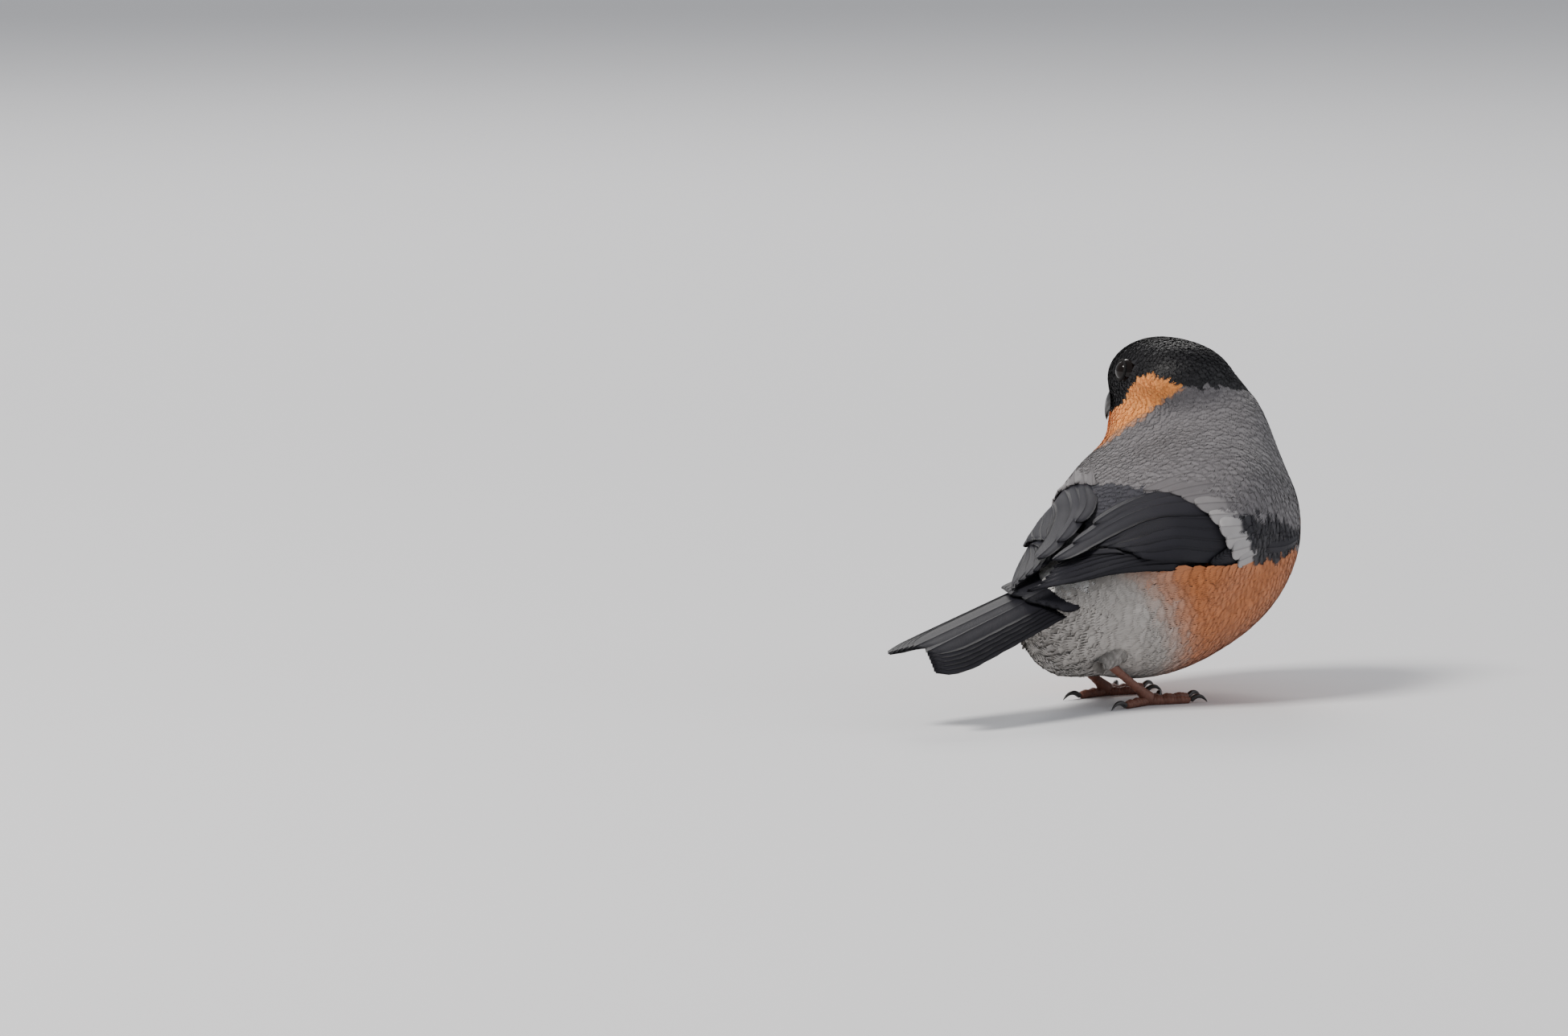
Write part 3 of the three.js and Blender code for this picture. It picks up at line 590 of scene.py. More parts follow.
def candidates(count):
    """Points spread over the plumage's surface, with their places on the skin's map."""
    a = rings[:-1]
    b = rings[1:]
    c = np.roll(rings, -1, axis=1)
    across = c[:-1] - a
    along = b - a
    area = np.linalg.norm(np.cross(across, along), axis=-1)
    pick = draw.choice(area.size, count, p=(area / area.sum()).ravel())
    r, k = np.divmod(pick, AROUND)
    u = draw.random((count, 1))
    v = draw.random((count, 1))
    low = lerp(rings[r, k], rings[r, (k + 1) % AROUND], u)
    high = lerp(rings[r + 1, k], rings[r + 1, (k + 1) % AROUND], u)
    spot = np.concatenate([(k[:, None] + u) / (AROUND + 1), (r[:, None] + 1 + v) / (ring_count + 2)], 1)
    return lerp(low, high, v), spot


def feather_length(points):
    """Shortest by the bill and longest on the body."""
    away = np.linalg.norm(points - BILL_ROOT, axis=-1)
    base = np.interp(away, *FEATHER_LENGTHS)
    vent = smooth(4, -16, points[:, 0]) * smooth(30, 20, points[:, 2])
    return base * (1 + 0.45 * vent)


def thinned(points, spacing):
    """Indices of points no closer than their spacing, in the order drawn."""
    tree = kdtree.KDTree(len(points))
    for i, p in enumerate(points):
        tree.insert(p, i)
    tree.balance()
    alive = np.ones(len(points), bool)
    kept = []
    for i in range(len(points)):
        if alive[i]:
            kept.append(i)
            for _, j, _ in tree.find_range(points[i], spacing[i]):
                alive[j] = False
    return np.array(kept)


def coat_roots():
    """Where feathers grow: off the bill and the eyes, and not under the folded wings."""
    points, spot = candidates(DRAWN_ROOTS)
    local = to_head(points)
    bill = in_bill_frame(points)
    bare = (bill[:, 1] / BILL_BASE[0]) ** 2 + ((bill[:, 2] - 0.4) / BILL_BASE[1]) ** 2 < 1
    bare &= local[:, 0] > 6
    for side in (1, -1):
        centre, _ = eye_centre(side)
        bare |= np.linalg.norm(points - centre, axis=-1) < EYE_RADIUS + 0.15
    x, t, radius = wing_coordinates(points)
    edge = bar_edge(np.clip(t, 0, 1.2)) + lerp(12.6, 6, smooth(0.4, 0.8, t))
    behind = (x < edge) & (x > -38) & (t > -0.04) & ((t < 1) | (x < -8))
    bare |= behind & (radius > wing_radius(points) - 3.4)
    points, spot = points[~bare], spot[~bare]
    length = feather_length(points)
    kept = thinned(points, ROOT_SPACING * length)
    return points[kept], spot[kept], length[kept]


def contour_feathers(roots, length, lift):
    """Points (feather, row, column) of frayed feathers that follow the lie from their roots."""
    count = len(roots)
    place, normal = settle(roots)
    way = lie(place, normal)
    swing = draw.normal(0, 0.1, count)[:, None]
    way = unit(way + np.cross(normal, way) * swing)
    rows = []
    for k, share in enumerate(ROWS):
        if k:
            stride = (share - ROWS[k - 1]) * length
            place, normal = settle(place + way * stride[:, None], 0.0, 1)
            way = unit(way - (way * normal).sum(-1)[:, None] * normal)
        rows.append((place, normal, way))
    out = np.empty((count, len(ROWS), len(COLUMNS), 3))
    fray = draw.random((count, len(COLUMNS)))
    for k, (place, normal, way) in enumerate(rows):
        aside = np.cross(normal, way)
        half = (FEATHER_HALF_WIDTH * length * ROW_WIDTHS[k])[:, None]
        height = lerp(-ROOT_DEPTH, lift, ROWS[k])
        crown = height[:, None] - 0.06 * half * COLUMNS**2 - 0.02 * ODD * half
        pull = np.zeros((count, len(COLUMNS)))
        if k == len(ROWS) - 1:
            tip = 0.24 * COLUMNS**2 + 0.14 * fray
            pull = length[:, None] * np.where(ODD, 0.26 + 0.1 * COLUMNS**2, np.minimum(tip, 0.34))
        out[:, k] = (
            place[:, None]
            + aside[:, None] * (half * COLUMNS)[..., None]
            + normal[:, None] * crown[..., None]
            - way[:, None] * pull[..., None]
        )
    return out


def coat_piece(name, roots, spot, length, lift, colour, finish):
    """One shown piece of many contour feathers, each a little lighter or darker than the next."""
    count = len(roots)
    points = contour_feathers(roots, length, lift)
    shade = 1 + 0.05 * draw.normal(0, 1, (count, 1, 1, 1))
    strand = 1 + 0.05 * draw.normal(0, 1, (count, 1, len(COLUMNS), 1))
    # Painted shade: each feather is darker at its root, where the feathers over it shade it, and a
    # little lighter at its tip.
    painted_root_shade = lerp(0.94, 1.03, ROWS)[None, :, None, None]
    tint = colour[:, None, None] * shade * strand * painted_root_shade
    across = np.broadcast_to(COLUMNS[None, None], points.shape[:3])
    barb = across * BARBS * math.pi + draw.random((count, 1, 1)) * 6
    uv = spot[:, None, None] + FEATHER_PATCH[None]
    faces = grid_faces(len(ROWS), len(COLUMNS), count)
    return build(
        name, points.reshape(-1, 3), faces, finish,
        tint.reshape(-1, 3), barb.reshape(-1), uv.reshape(-1, 2),
    )


def make_coat():
    """The coat, marked by where each feather's shown part lies."""
    roots, spot, length = coat_roots()
    place, normal = settle(roots)
    shown, _ = settle(place + lie(place, normal) * 0.6 * length[:, None])
    kind, colour = marking(shown)
    lift = 0.06 + 0.06 * draw.random(len(roots))
    vent = smooth(-6, -20, roots[:, 0]) * smooth(26, 14, roots[:, 2])
    lift += vent * 0.6 * draw.random(len(roots))
    for k, name in enumerate(CLASSES):
        chosen = np.flatnonzero(kind == k)
        chosen = chosen[np.argsort(spot[chosen, 1])]
        parts = max(1, math.ceil(len(chosen) / MOST_IN_PIECE))
        for part, some in enumerate(np.array_split(chosen, parts)):
            glossy = name in ("cap", "dark")
            varied = length[some] * draw.uniform(0.85, 1.15, len(some))
            coat_piece(
                f"coat_{name}_{part + 1}", roots[some], spot[some], varied, lift[some], colour[some],
                COAT_CAP if glossy else COAT_SOFT,
            )


make_coat()

# Flight feathers: closed vanes with a raised shaft

VANE_ROWS = 30
VANE_COLUMNS = np.array([-1, -0.82, -0.6, -0.36, -0.12, -0.035, 0, 0.035, 0.12, 0.36, 0.6, 0.82, 1])
SHAFT = np.exp(-((VANE_COLUMNS / 0.05) ** 2))
VANE_DEPTH = 0.12
BARB_PITCH = 0.42


def vane_widths(share, pointed):
    """Half width along a feather: pointed runs from 0, a round tip, to 1, a tapering one."""
    start = lerp(0.84, 0.6, pointed)
    past = np.clip((share - start) / (1 - start), 0, 1)
    end = np.sqrt(np.maximum(1 - past ** lerp(2.2, 1.7, pointed), 0.004))
    return lerp(0.72, 1, smooth(0, 0.35, share)) * end


def vane_points(place, half, pointed=0.5, camber=0.25):
    """Upper and lower faces of one feather. place(share, aside, height) gives points and normals."""
    share = np.linspace(0, 1, VANE_ROWS)[:, None]
    wide = half * vane_widths(share, pointed)
    ragged = 1 + 0.018 * np.sin(share * 61 + draw.random() * 6) * (np.abs(VANE_COLUMNS) > 0.9)
    aside = wide * VANE_COLUMNS * ragged
    bow = camber * (1 - VANE_COLUMNS**2) + 0.13 * SHAFT
    point, normal = place(np.broadcast_to(share, aside.shape), aside, bow + 0 * aside)
    return point, point - normal * VANE_DEPTH


def vane_faces(count):
    rows, columns = VANE_ROWS, len(VANE_COLUMNS)
    size = rows * columns
    top = grid_faces(rows, columns)
    under = top[:, ::-1] + size
    rim = [r * columns for r in range(rows)]
    rim += [(rows - 1) * columns + c for c in range(1, columns)]
    rim += [r * columns + columns - 1 for r in range(rows - 2, -1, -1)]
    rim += list(range(columns - 2, 0, -1))
    sides = [[a, a + size, b + size, b] for a, b in zip(rim, rim[1:] + rim[:1])]
    one = np.concatenate([top[:, ::-1], under[:, ::-1], np.array(sides)[:, ::-1]])
    starts = np.arange(count) * 2 * size
    return (one[None] + starts[:, None, None]).reshape(-1, 4)


def vane_looks(length, half, colour, rim, tip_colour=None, tip_from=0.7):
    share = np.linspace(0, 1, VANE_ROWS)[:, None]
    across = np.abs(VANE_COLUMNS)[None]
    # Towards the edges and the end the colour turns to the rim colour; on the black feathers this is
    # painted shade where feathers overlap.
    edge = smooth(0.72, 1, across) + smooth(0.95, 1, share) * 0.6
    tint = lerp(colour, rim, np.clip(edge, 0, 1)[..., None])
    if tip_colour is not None:
        beyond = smooth(tip_from - 0.06, tip_from + 0.06, share + 0.1 * across)
        tint = lerp(tint, tip_colour, beyond[..., None])
    tint = tint * lerp(1, 0.7, SHAFT)[None, :, None]
    barb = (share * length - across * half * 1.3) / BARB_PITCH * 2 * math.pi
    return np.concatenate([tint, tint]).reshape(-1, 3), np.concatenate([barb, barb]).reshape(-1)


def feather_group(name, feathers, replaced=()):
    """One piece of many vanes. Each feather is a dictionary of its form and its looks."""
    points, tints, barbs, uvs = [], [], [], []
    for k, feather in enumerate(feathers):
        upper, lower = vane_points(**feather["form"])
        points += [upper.reshape(-1, 3), lower.reshape(-1, 3)]
        tint, barb = vane_looks(**feather["looks"])
        tints.append(tint * draw.uniform(0.9, 1.1))
        barbs.append(barb)
        row = (k + 0.1) / len(feathers)
        tall = 0.8 / len(feathers)
        u = np.broadcast_to(np.linspace(0.02, 0.48, VANE_ROWS)[:, None], upper.shape[:2])
        v = np.broadcast_to(row + tall * (VANE_COLUMNS + 1) / 2, upper.shape[:2])
        uvs += [np.stack([u, v], -1).reshape(-1, 2), np.stack([u + 0.5, v], -1).reshape(-1, 2)]
    return build(
        name, np.concatenate(points), vane_faces(len(feathers)), VANE,
        np.concatenate(tints), np.concatenate(barbs), np.concatenate(uvs), replaced,
    )


def feather(place, length, half, form, looks):
    return {
        "form": {"place": place, "half": half, **form},
        "looks": {"length": length, "half": half, **looks},
    }


def wing_feather(side, root, tip, half, height, looks, **form):
    """A vane on the folded wing, from root to tip as (place along the bird, share of the arc)."""

    def place(share, aside, rise):
        x = lerp(root[0], tip[0], share)
        t = lerp(root[1], tip[1], share) + aside / wing_arc(x)
        base = height if np.isscalar(height) else lerp(height[0], height[1], share)
        return wing_place(side, x, np.clip(t, -0.08, 1.0), base + rise)

    return feather(place, abs(root[0] - tip[0]) * 1.05, half, form, looks)


def shares(count):
    return [(k, k / (count - 1)) for k in range(count)]


# Painted shade: the dark lines along the edges and ends of the black flight and tail feathers, where
# each feather lies over the next.
RIM_PAINTED_SHADE = WING_BLACK * 0.45


DARK_LOOKS = {"colour": WING_BLACK, "rim": RIM_PAINTED_SHADE}
TERTIAL_LOOKS = {"colour": WING_BLACK * 1.15, "rim": RIM_PAINTED_SHADE}


def bar_looks(t, k):
    """Greater coverts: black with a pale end low on the wing, and grey where they near the back."""
    # The grey of these coverts is darkened: painted shade to match the shade between the coat's
    # feathers.
    base = lerp(WING_BLACK, GREY * 0.85, smooth(0.4, 0.6, t))
    end = lerp(PALE, GREY * 0.85, smooth(0.3, 0.72, t))
    return {"colour": base, "rim": base, "tip_colour": end, "tip_from": 0.42 + 0.08 * (k % 2)}


def wing_feathers(side):
    """Primaries, secondaries, tertials, primary coverts, alula and greater coverts."""
    made = []
    for k, share in shares(8):
        root = (5 - 20 * share, 0.04 + 0.3 * share)
        tip = (WING_TIP + 2.1 * k + (2 if k == 0 else 0), 0.2 + 0.66 * share)
        made.append(wing_feather(side, root, tip, 3.1, -2.9 + 0.2 * k, DARK_LOOKS, pointed=0.8))
    for k, share in shares(6):
        root = (21 - 14 * share, 0.1 + 0.5 * share)
        tip = (-14 - 4 * share, 0.2 + 0.44 * share)
        height = (-0.5 + 0.1 * k, -1.3 + 0.22 * k)
        made.append(wing_feather(side, root, tip, 3.5, height, DARK_LOOKS, pointed=0.3))
    for k, share in shares(3):
        root = (9 - 3 * share, 0.58 + 0.26 * share)
        tip = (-25 + 14 * share, 0.7 + 0.14 * share)
        height = (0, 0.05 + 0.3 * k)
        made.append(wing_feather(
            side, root, tip, 5.0 - 0.4 * k, height, TERTIAL_LOOKS, pointed=0.1, camber=0.45))
    for k, share in shares(6):
        root = (27, 0.04 + 0.06 * share)
        tip = (4 + 5 * share, 0.03 + 0.12 * share)
        made.append(wing_feather(side, root, tip, 2.2, -0.2 + 0.12 * k, DARK_LOOKS, pointed=0.6))
    for k, share in shares(3):
        root = (37, 0.05 + 0.07 * share)
        tip = (19 + 4 * share, 0.04 + 0.13 * share)
        made.append(wing_feather(side, root, tip, 2, 0.3 + 0.2 * k, DARK_LOOKS, pointed=0.5))
    for k, share in shares(10):
        t = lerp(0.05, 0.97, share)
        edge = float(bar_edge(np.array(t)))
        height = (0.2, 0.75 + 0.2 * (k % 2))
        made.append(wing_feather(
            side, (edge + 12, t + 0.08), (edge, t - 0.02), 2.6, height, bar_looks(t, k),
            pointed=0.1, camber=0.35))
    return made


for name, side in (("left", 1), ("right", -1)):
    feather_group(f"wing_feathers_{name}", wing_feathers(side), (f"wing_{name}",))

# Tail

TAIL_ROOT = np.array([-7.0, 0.5, 31.7])
TAIL_TURN = turn(1, -13) @ turn(0, 12.5)
TAIL_ARCH = 0.9
TAIL_HALF_WIDTH = 7.0


def tail_place(back, left, height):
    bend = (left / TAIL_HALF_WIDTH) ** 2 * TAIL_ARCH
    tilt = 2 * left * TAIL_ARCH / TAIL_HALF_WIDTH**2
    normal = unit(np.stack([0 * tilt, tilt, 1 + 0 * tilt], -1))
    point = np.stack([-back, left, -bend], -1) + normal * height[..., None]
    return point @ TAIL_TURN.T + TAIL_ROOT, normal @ TAIL_TURN.T


def tail_feather(root, tip, half, height, **form):
    def place(share, aside, rise):
        back = lerp(root[0], tip[0], share)
        left = lerp(root[1], tip[1], share) + aside
        return tail_place(back, left, height + rise)

    looks = {"colour": WING_BLACK * 0.9, "rim": RIM_PAINTED_SHADE}
    return feather(place, tip[0] - root[0], half, form, looks)


def tail_feathers():
    """Twelve tail feathers, the middle ones on top, and the coverts over their roots."""
    made = []
    for k, share in shares(6):
        for side in (1, -1):
            root = (0, side * (0.8 + 3.6 * share))
            tip = (TAIL_LENGTH - 3 * (1 - share), side * (1.8 + (TAIL_HALF_WIDTH - 1.8) * share))
            height = -0.26 * k - (0.13 if side < 0 else 0)
            made.append(tail_feather(root, tip, 4.1, height, pointed=0.15))
    for k, share in shares(4):
        for side in (1, -1):
            root = (2, side * (1.2 + 4 * share))
            tip = (27 - 4 * share, side * (2 + 5 * share))
            height = 1.1 - 0.2 * k - (0.1 if side < 0 else 0)
            made.append(tail_feather(root, tip, 3.4, height, pointed=0.2, camber=0.4))
    return made


feather_group("tail_feathers", tail_feathers(), ("tail",))

# Eyes and lids

EYE_AROUND = 40
EYE_RINGS = 24
LID_AROUND = 72
LID_SIDES = 8
LID_BEADS = 22


def ring_faces(rings_made, around):
    """Faces of a tube of rings whose first and last points close it."""
    faces = (grid_faces(rings_made, around, wrap=True) + 1).tolist()
    last = 1 + rings_made * around
    for k in range(around):
        after = (k + 1) % around
        faces.append([0, 1 + after, 1 + k])
        faces.append([last, last - around + k, last - around + after])
    return faces


def frame_of(direction):
    """Two directions square to one."""
    aside = unit(np.cross(direction, [0.0, 0, 1]))
    return aside, np.cross(direction, aside)


def eye_points(centre, out):
    aside, up = frame_of(out)
    angle = np.arange(EYE_AROUND) / EYE_AROUND * 2 * math.pi
    polar = np.linspace(0, math.pi, EYE_RINGS + 2)[1:-1]
    loop = aside * np.cos(angle)[:, None] + up * np.sin(angle)[:, None]
    bulge = 1 + 0.03 * smooth(0.75, 1, np.cos(polar))
    body = out * np.cos(polar)[:, None, None] + loop[None] * np.sin(polar)[:, None, None]
    body = body * (EYE_RADIUS * bulge)[:, None, None]
    front = [out * EYE_RADIUS * 1.03]
    rear = [-out * EYE_RADIUS]
    return np.concatenate([front, body.reshape(-1, 3), rear]) + centre


def lid_points(centre, out):
    """A narrow ring of beaded skin round the eye."""
    aside, up = frame_of(out)
    angle = np.arange(LID_AROUND) / LID_AROUND * 2 * math.pi
    section = np.arange(LID_SIDES) / LID_SIDES * 2 * math.pi
    loop = aside * np.cos(angle)[:, None] + up * np.sin(angle)[:, None]
    bead = 0.36 + 0.06 * np.cos(angle * LID_BEADS)
    far = EYE_RADIUS * 0.78 + bead[:, None] * np.cos(section)
    high = EYE_RADIUS * 0.64 + bead[:, None] * np.sin(section)
    return (centre + loop[:, None] * far[..., None] + out * high[..., None]).reshape(-1, 3)


for name, side in (("left", 1), ("right", -1)):
    centre, out = eye_centre(side)
    faces = ring_faces(EYE_RINGS, EYE_AROUND)
    build(f"eyeball_{name}", eye_points(centre, out), faces, EYE, replaced=(f"eye_{name}",))
    loop = grid_faces(LID_AROUND, LID_SIDES, wrap=True).tolist()
    last = (LID_AROUND - 1) * LID_SIDES
    for k in range(LID_SIDES):
        after = (k + 1) % LID_SIDES
        loop.append([last + k, last + after, after, k])
    build(f"eyelid_{name}", lid_points(centre, out), loop, LID)

# Bill

BILL_HIDDEN = 4.0  # length inside the head


def in_bill(along, left, up):
    local = np.stack(np.broadcast_arrays(along, left, up), -1) @ BILL_TURN.T
    return (local + BILL_START) @ HEAD_TURN.T + HEAD_AT


def mandible(half):
    """The upper half of the bill for 1, and the lower for -1, from inside the head to its tip."""
    depth = BILL_DEPTH * (0.56 if half > 0 else 0.44)
    length = BILL_LENGTH * (1 if half > 0 else 0.82)
    hidden = np.linspace(-BILL_HIDDEN, 0, 5)[:-1]
    along = np.concatenate([hidden, np.linspace(0, 1, 26)[:-1] ** 0.8 * length])[:, None]
    outside = np.maximum(along, 0) / length
    high = depth * (1 - outside**2.2) + 0.12
    wide = BILL_WIDTH / 2 * (1 if half > 0 else 0.9) * (1 - outside**2.4) + 0.15
    angle = np.linspace(0, math.pi, 25)
    keel = 1 + 0.05 * np.exp(-(((angle - math.pi / 2) / 0.25) ** 2))
    up = half * (GAP / 2 + (high * keel - GAP / 2) * np.sin(angle) ** 0.9) - 1.2 * outside**2.5
    body = in_bill(along, wide * np.cos(angle), up)
    tip = in_bill(length, 0, -1.9 if half > 0 else -1.5)
    start = in_bill(-BILL_HIDDEN, 0, half * depth * 0.4)
    points = np.concatenate([[start], body.reshape(-1, 3), [tip]])
    return points, ring_faces(len(body), len(angle))


for name, half in (("upper", 1), ("lower", -1)):
    points, faces = mandible(half)
    build(f"mandible_{name}", points, faces, HORN, replaced=(f"bill_{name}",))

# Legs and feet

TARSUS_RADIUS = 1.05
TARSUS_TILT = math.radians(33)
LEG_UP = np.array([-math.cos(TARSUS_TILT), 0, math.sin(TARSUS_TILT)])
FEET = {"left": (1, np.array([6.8, 9, 1.9])), "right": (-1, np.array([0.2, -9, 1.9]))}
# Heading outward in degrees, length, radius, and the length of its claw
TOES = {
    "hind": (176, 8, 1.05, 5.6),
    "inner": (-27, 9.5, 0.95, 4),
    "middle": (2, 13, 1.05, 4.6),
    "outer": (29, 10, 0.95, 4),
}
LEG_SIDES = 20


def limb(points, radii, flat_floor=False):
    """A tube along points with a radius at each, closed at both ends."""
    points = np.asarray(points, float)
    radii = np.asarray(radii, float)
    along = unit(np.gradient(points, axis=0))
    aside = unit(np.stack([-along[:, 1], along[:, 0], 0 * along[:, 0]], -1))
    up = np.cross(along, aside)
    angle = np.arange(LEG_SIDES) / LEG_SIDES * 2 * math.pi
    body = (
        points[:, None]
        + aside[:, None] * (radii[:, None] * np.cos(angle))[..., None]
        + up[:, None] * (radii[:, None] * np.sin(angle))[..., None]
    )
    ends = [points[0] - along[0] * radii[0] * 0.6, points[-1] + along[-1] * radii[-1] * 0.6]
    made = np.concatenate([[ends[0]], body.reshape(-1, 3), [ends[1]]])
    if flat_floor:
        made[:, 2] = np.maximum(made[:, 2], 0)
    return made, ring_faces(len(points), LEG_SIDES)


def combined(solids):
    points, faces, start = [], [], 0
    for some, made in solids:
        points.append(some)
        faces += [[v + start for v in face] for face in made]
        start += len(some)
    return np.concatenate(points), faces


def scutes(share, count, depth):
    """Overlapping plates along a limb, as a small change of its radius."""
    return 1 + depth * ((share * count) % 1 - 0.5)


def tarsus_solid(joint):
    share = np.linspace(0.15, 1, 90)
    radii = np.interp(share, [0.2, 0.3, 0.6, 0.9, 1], [1.05, 0.92, 0.88, 1, 1.25]) * TARSUS_RADIUS
    return limb(joint + LEG_UP * TARSUS_LENGTH * share[:, None], radii * scutes(share, 11, 0.09))


def toe_solid(side, joint, toe):
    heading, length, radius, _ = TOES[toe]
    heading = math.radians(heading * side)
    share = np.linspace(0, 1, 70)
    swell = np.interp(share, [0, 0.2, 0.36, 0.5, 0.66, 0.8, 1], [1, 1.08, 0.9, 1.06, 0.86, 0.98, 0.78])
    radii = swell * radius * scutes(share, 12, 0.1)
    x = joint[0] + share * length * math.cos(heading)
    y = joint[1] + share * length * math.sin(heading)
    return limb(np.stack([x, y, radii * 0.93], -1), radii, True)


def pad_solid(joint):
    """The thick joint where the toes meet the lower leg."""
    low = np.array([joint[0], joint[1], 1.6])
    share = np.linspace(0, 1, 14)[:, None]
    high = joint + LEG_UP * TARSUS_LENGTH * 0.17
    return limb(lerp(low, high, share), np.interp(share[:, 0], [0, 1], [1.7, 1.1]), True)


def claw_solid(side, joint, toe):
    heading, length, radius, claw = TOES[toe]
    heading = math.radians(heading * side)
    share = np.linspace(0, 1, 24)
    height = profile([(0, 0.8), (0.3, 1.5), (0.62, 1.45), (0.85, 0.85), (1, 0.2)])(share)
    out = length + radius * 0.5 + share * (claw * 0.8 + 0.7)
    x = joint[0] + out * math.cos(heading)
    y = joint[1] + out * math.sin(heading)
    radii = profile([(0, 0.62), (0.3, 0.56), (0.62, 0.42), (0.85, 0.26), (1, 0.08)])(share)
    return limb(np.stack([x, y, height], -1), radii, True)


for name, (side, joint) in FEET.items():
    points, faces = tarsus_solid(joint)
    build(f"shank_{name}", points, faces, LEG, replaced=(f"tarsus_{name}",))
    points, faces = combined([pad_solid(joint)] + [toe_solid(side, joint, toe) for toe in TOES])
    build(f"toes_{name}", points, faces, LEG, replaced=(f"foot_{name}",))
    points, faces = combined([claw_solid(side, joint, toe) for toe in TOES])
    claws = [f"claw_{name}_{toe}" for toe in TOES]
    build(f"claws_{name}", points, faces, HORN, replaced=claws)

# Feathered thighs

THIGH_TUFTS = 420
THIGH_RADII = ([0, 0.5, 1], [3.6, 3.1, 1.5])


def thigh_coat(side, joint):
    """Points, tint, barbs and map places of tufts that lie down the feathered thigh to the ankle."""
    top = joint + LEG_UP * TARSUS_LENGTH
    start = top + np.array([8, -side * 1.2, 4.4])
    end = top + np.array([-1.2, 0, -0.3])
    share = draw.random(THIGH_TUFTS) ** 0.9 * 0.86
    angle = draw.random(THIGH_TUFTS) * 2 * math.pi
    way = unit(end - start)
    aside, up = frame_of(way)
    radius = np.interp(share, *THIGH_RADII)
    normal = aside * np.cos(angle)[:, None] + up * np.sin(angle)[:, None]
    root = lerp(start, end, share[:, None]) + normal * (radius - 0.5)[:, None]
    length = 3.6 * draw.uniform(0.8, 1.2, THIGH_TUFTS)
    points = np.empty((THIGH_TUFTS, len(ROWS), len(COLUMNS), 3))
    side_way = np.cross(normal, way)
    for k, s in enumerate(ROWS):
        drawn_in = np.interp(np.minimum(share + s * 0.3, 1), *THIGH_RADII) - radius
        height = 0.7 * s + drawn_in
        half = (0.3 * length * ROW_WIDTHS[k])[:, None]
        reach_out = np.broadcast_to((s * length)[:, None], points.shape[:1] + COLUMNS.shape).copy()
        if k == len(ROWS) - 1:
            reach_out -= length[:, None] * (0.26 * COLUMNS**2 + 0.2 * ODD)
        points[:, k] = (
            root[:, None]
            + side_way[:, None] * (half * COLUMNS)[..., None]
            + normal[:, None] * (height[:, None] - 0.3 * half * COLUMNS**2)[..., None]
            + way * reach_out[..., None]
        )
    shade = WHITE * 0.8 * (1 + 0.1 * draw.normal(0, 1, (THIGH_TUFTS, 1, 1, 1)))
    tint = np.broadcast_to(shade, points.shape)
    barb = np.broadcast_to(COLUMNS, points.shape[:3]) * 30
    spot = np.stack([angle / 6.3, share], -1)
    uv = spot[:, None, None] + FEATHER_PATCH[None]
    return points, tint, barb, uv


for name, (side, joint) in FEET.items():
    points, tint, barb, uv = thigh_coat(side, joint)
    faces = grid_faces(len(ROWS), len(COLUMNS), THIGH_TUFTS)
    build(
        f"thigh_tufts_{name}", points.reshape(-1, 3), faces, COAT_SOFT,
        tint.reshape(-1, 3), barb.reshape(-1), uv.reshape(-1, 2),
    )

# Floor, light and camera

floor_mesh = bpy.data.meshes.new("floor")
corners = [(-4, -4, 0), (4, -4, 0), (4, 4, 0), (-4, 4, 0)]
floor_mesh.from_pydata(corners, [], [(0, 1, 2, 3)])
floor_mesh.materials.append(material("floor", 0.9, colour=(0.78, 0.78, 0.8), mottle=0.02, scale=3))
floor = bpy.data.objects.new("floor", floor_mesh)
bpy.context.scene.collection.objects.link(floor)

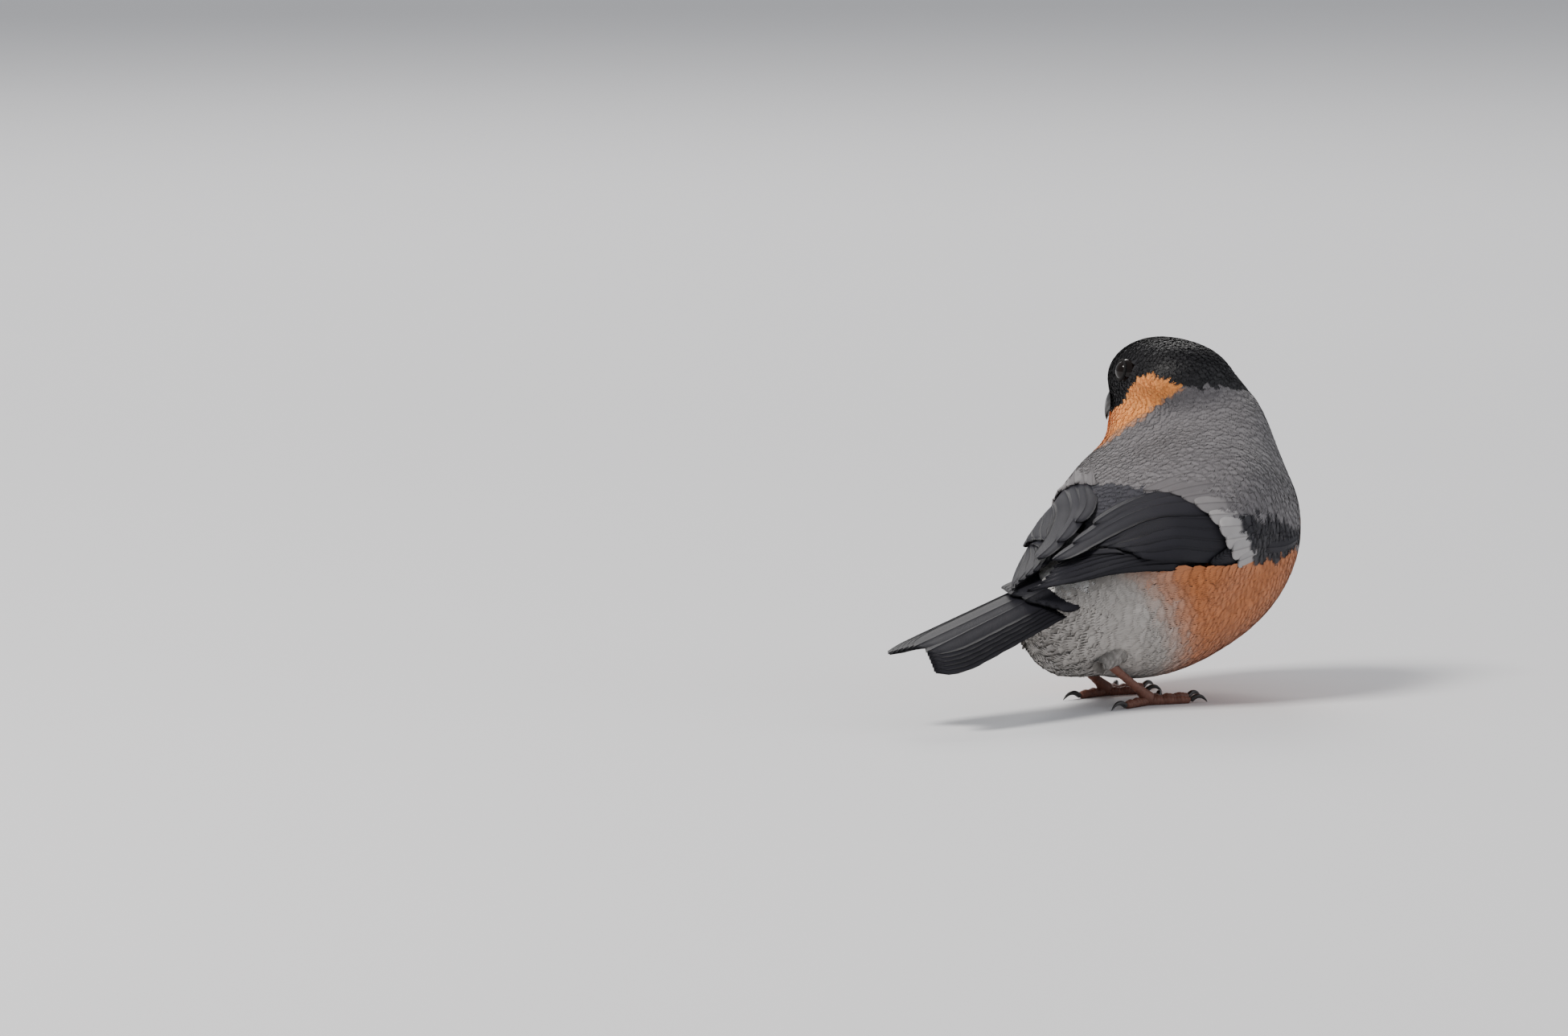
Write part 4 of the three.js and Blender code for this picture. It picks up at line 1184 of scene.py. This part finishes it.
VIEW_TURN = math.radians(48)  # of the bird's axis out of the picture plane
VIEW_DROP = math.radians(6.5)
VIEW_DISTANCE = 2.5  # metres
VIEW_WIDTH = 0.3545  # metres across the picture at the bird
VIEW_ASIDE = -0.0751  # of the picture's middle from the bird's standing point
VIEW_ABOVE = 0.0415
SENSOR_WIDTH = 36
right = Vector((math.cos(VIEW_TURN), -math.sin(VIEW_TURN), 0))
ahead = Vector((
    math.sin(VIEW_TURN) * math.cos(VIEW_DROP),
    math.cos(VIEW_TURN) * math.cos(VIEW_DROP),
    -math.sin(VIEW_DROP),
))
upward = right.cross(ahead)
middle = Vector((0.01, 0, 0.04))
target = Vector(STANCE * MM) + right * VIEW_ASIDE + upward * VIEW_ABOVE + ahead * middle.dot(ahead)

camera_data = bpy.data.cameras.new("camera")
camera_data.sensor_width = SENSOR_WIDTH
camera_data.lens = SENSOR_WIDTH * VIEW_DISTANCE / VIEW_WIDTH
camera_data.clip_end = 20
camera = bpy.data.objects.new("camera", camera_data)
camera.matrix_world = Matrix.Translation(target - ahead * VIEW_DISTANCE) @ Matrix(
    (right, upward, -ahead)
).transposed().to_4x4()
bpy.context.scene.collection.objects.link(camera)
bpy.context.scene.camera = camera


def lamp(name, place, size, watts, colour):
    data = bpy.data.lights.new(name, "AREA")
    data.size = size
    data.energy = watts
    data.color = colour
    made = bpy.data.objects.new(name, data)
    made.location = place
    made.rotation_euler = (middle - Vector(place)).to_track_quat("-Z", "Y").to_euler()
    bpy.context.scene.collection.objects.link(made)


lamp("key", (-1.15, 0.35, 1.5), 0.5, 36, (1, 0.97, 0.92))
lamp("fill", (0.9, -1.4, 0.8), 1.4, 5, (0.93, 0.96, 1))
lamp("rim", (1.0, 1.2, 1.1), 0.8, 12, (1, 0.98, 0.95))

world = bpy.data.worlds.new("studio")
world.use_nodes = True
background = world.node_tree.nodes["Background"]
background.inputs["Color"].default_value = (0.86, 0.88, 0.92, 1)
background.inputs["Strength"].default_value = 0.5
bpy.context.scene.world = world
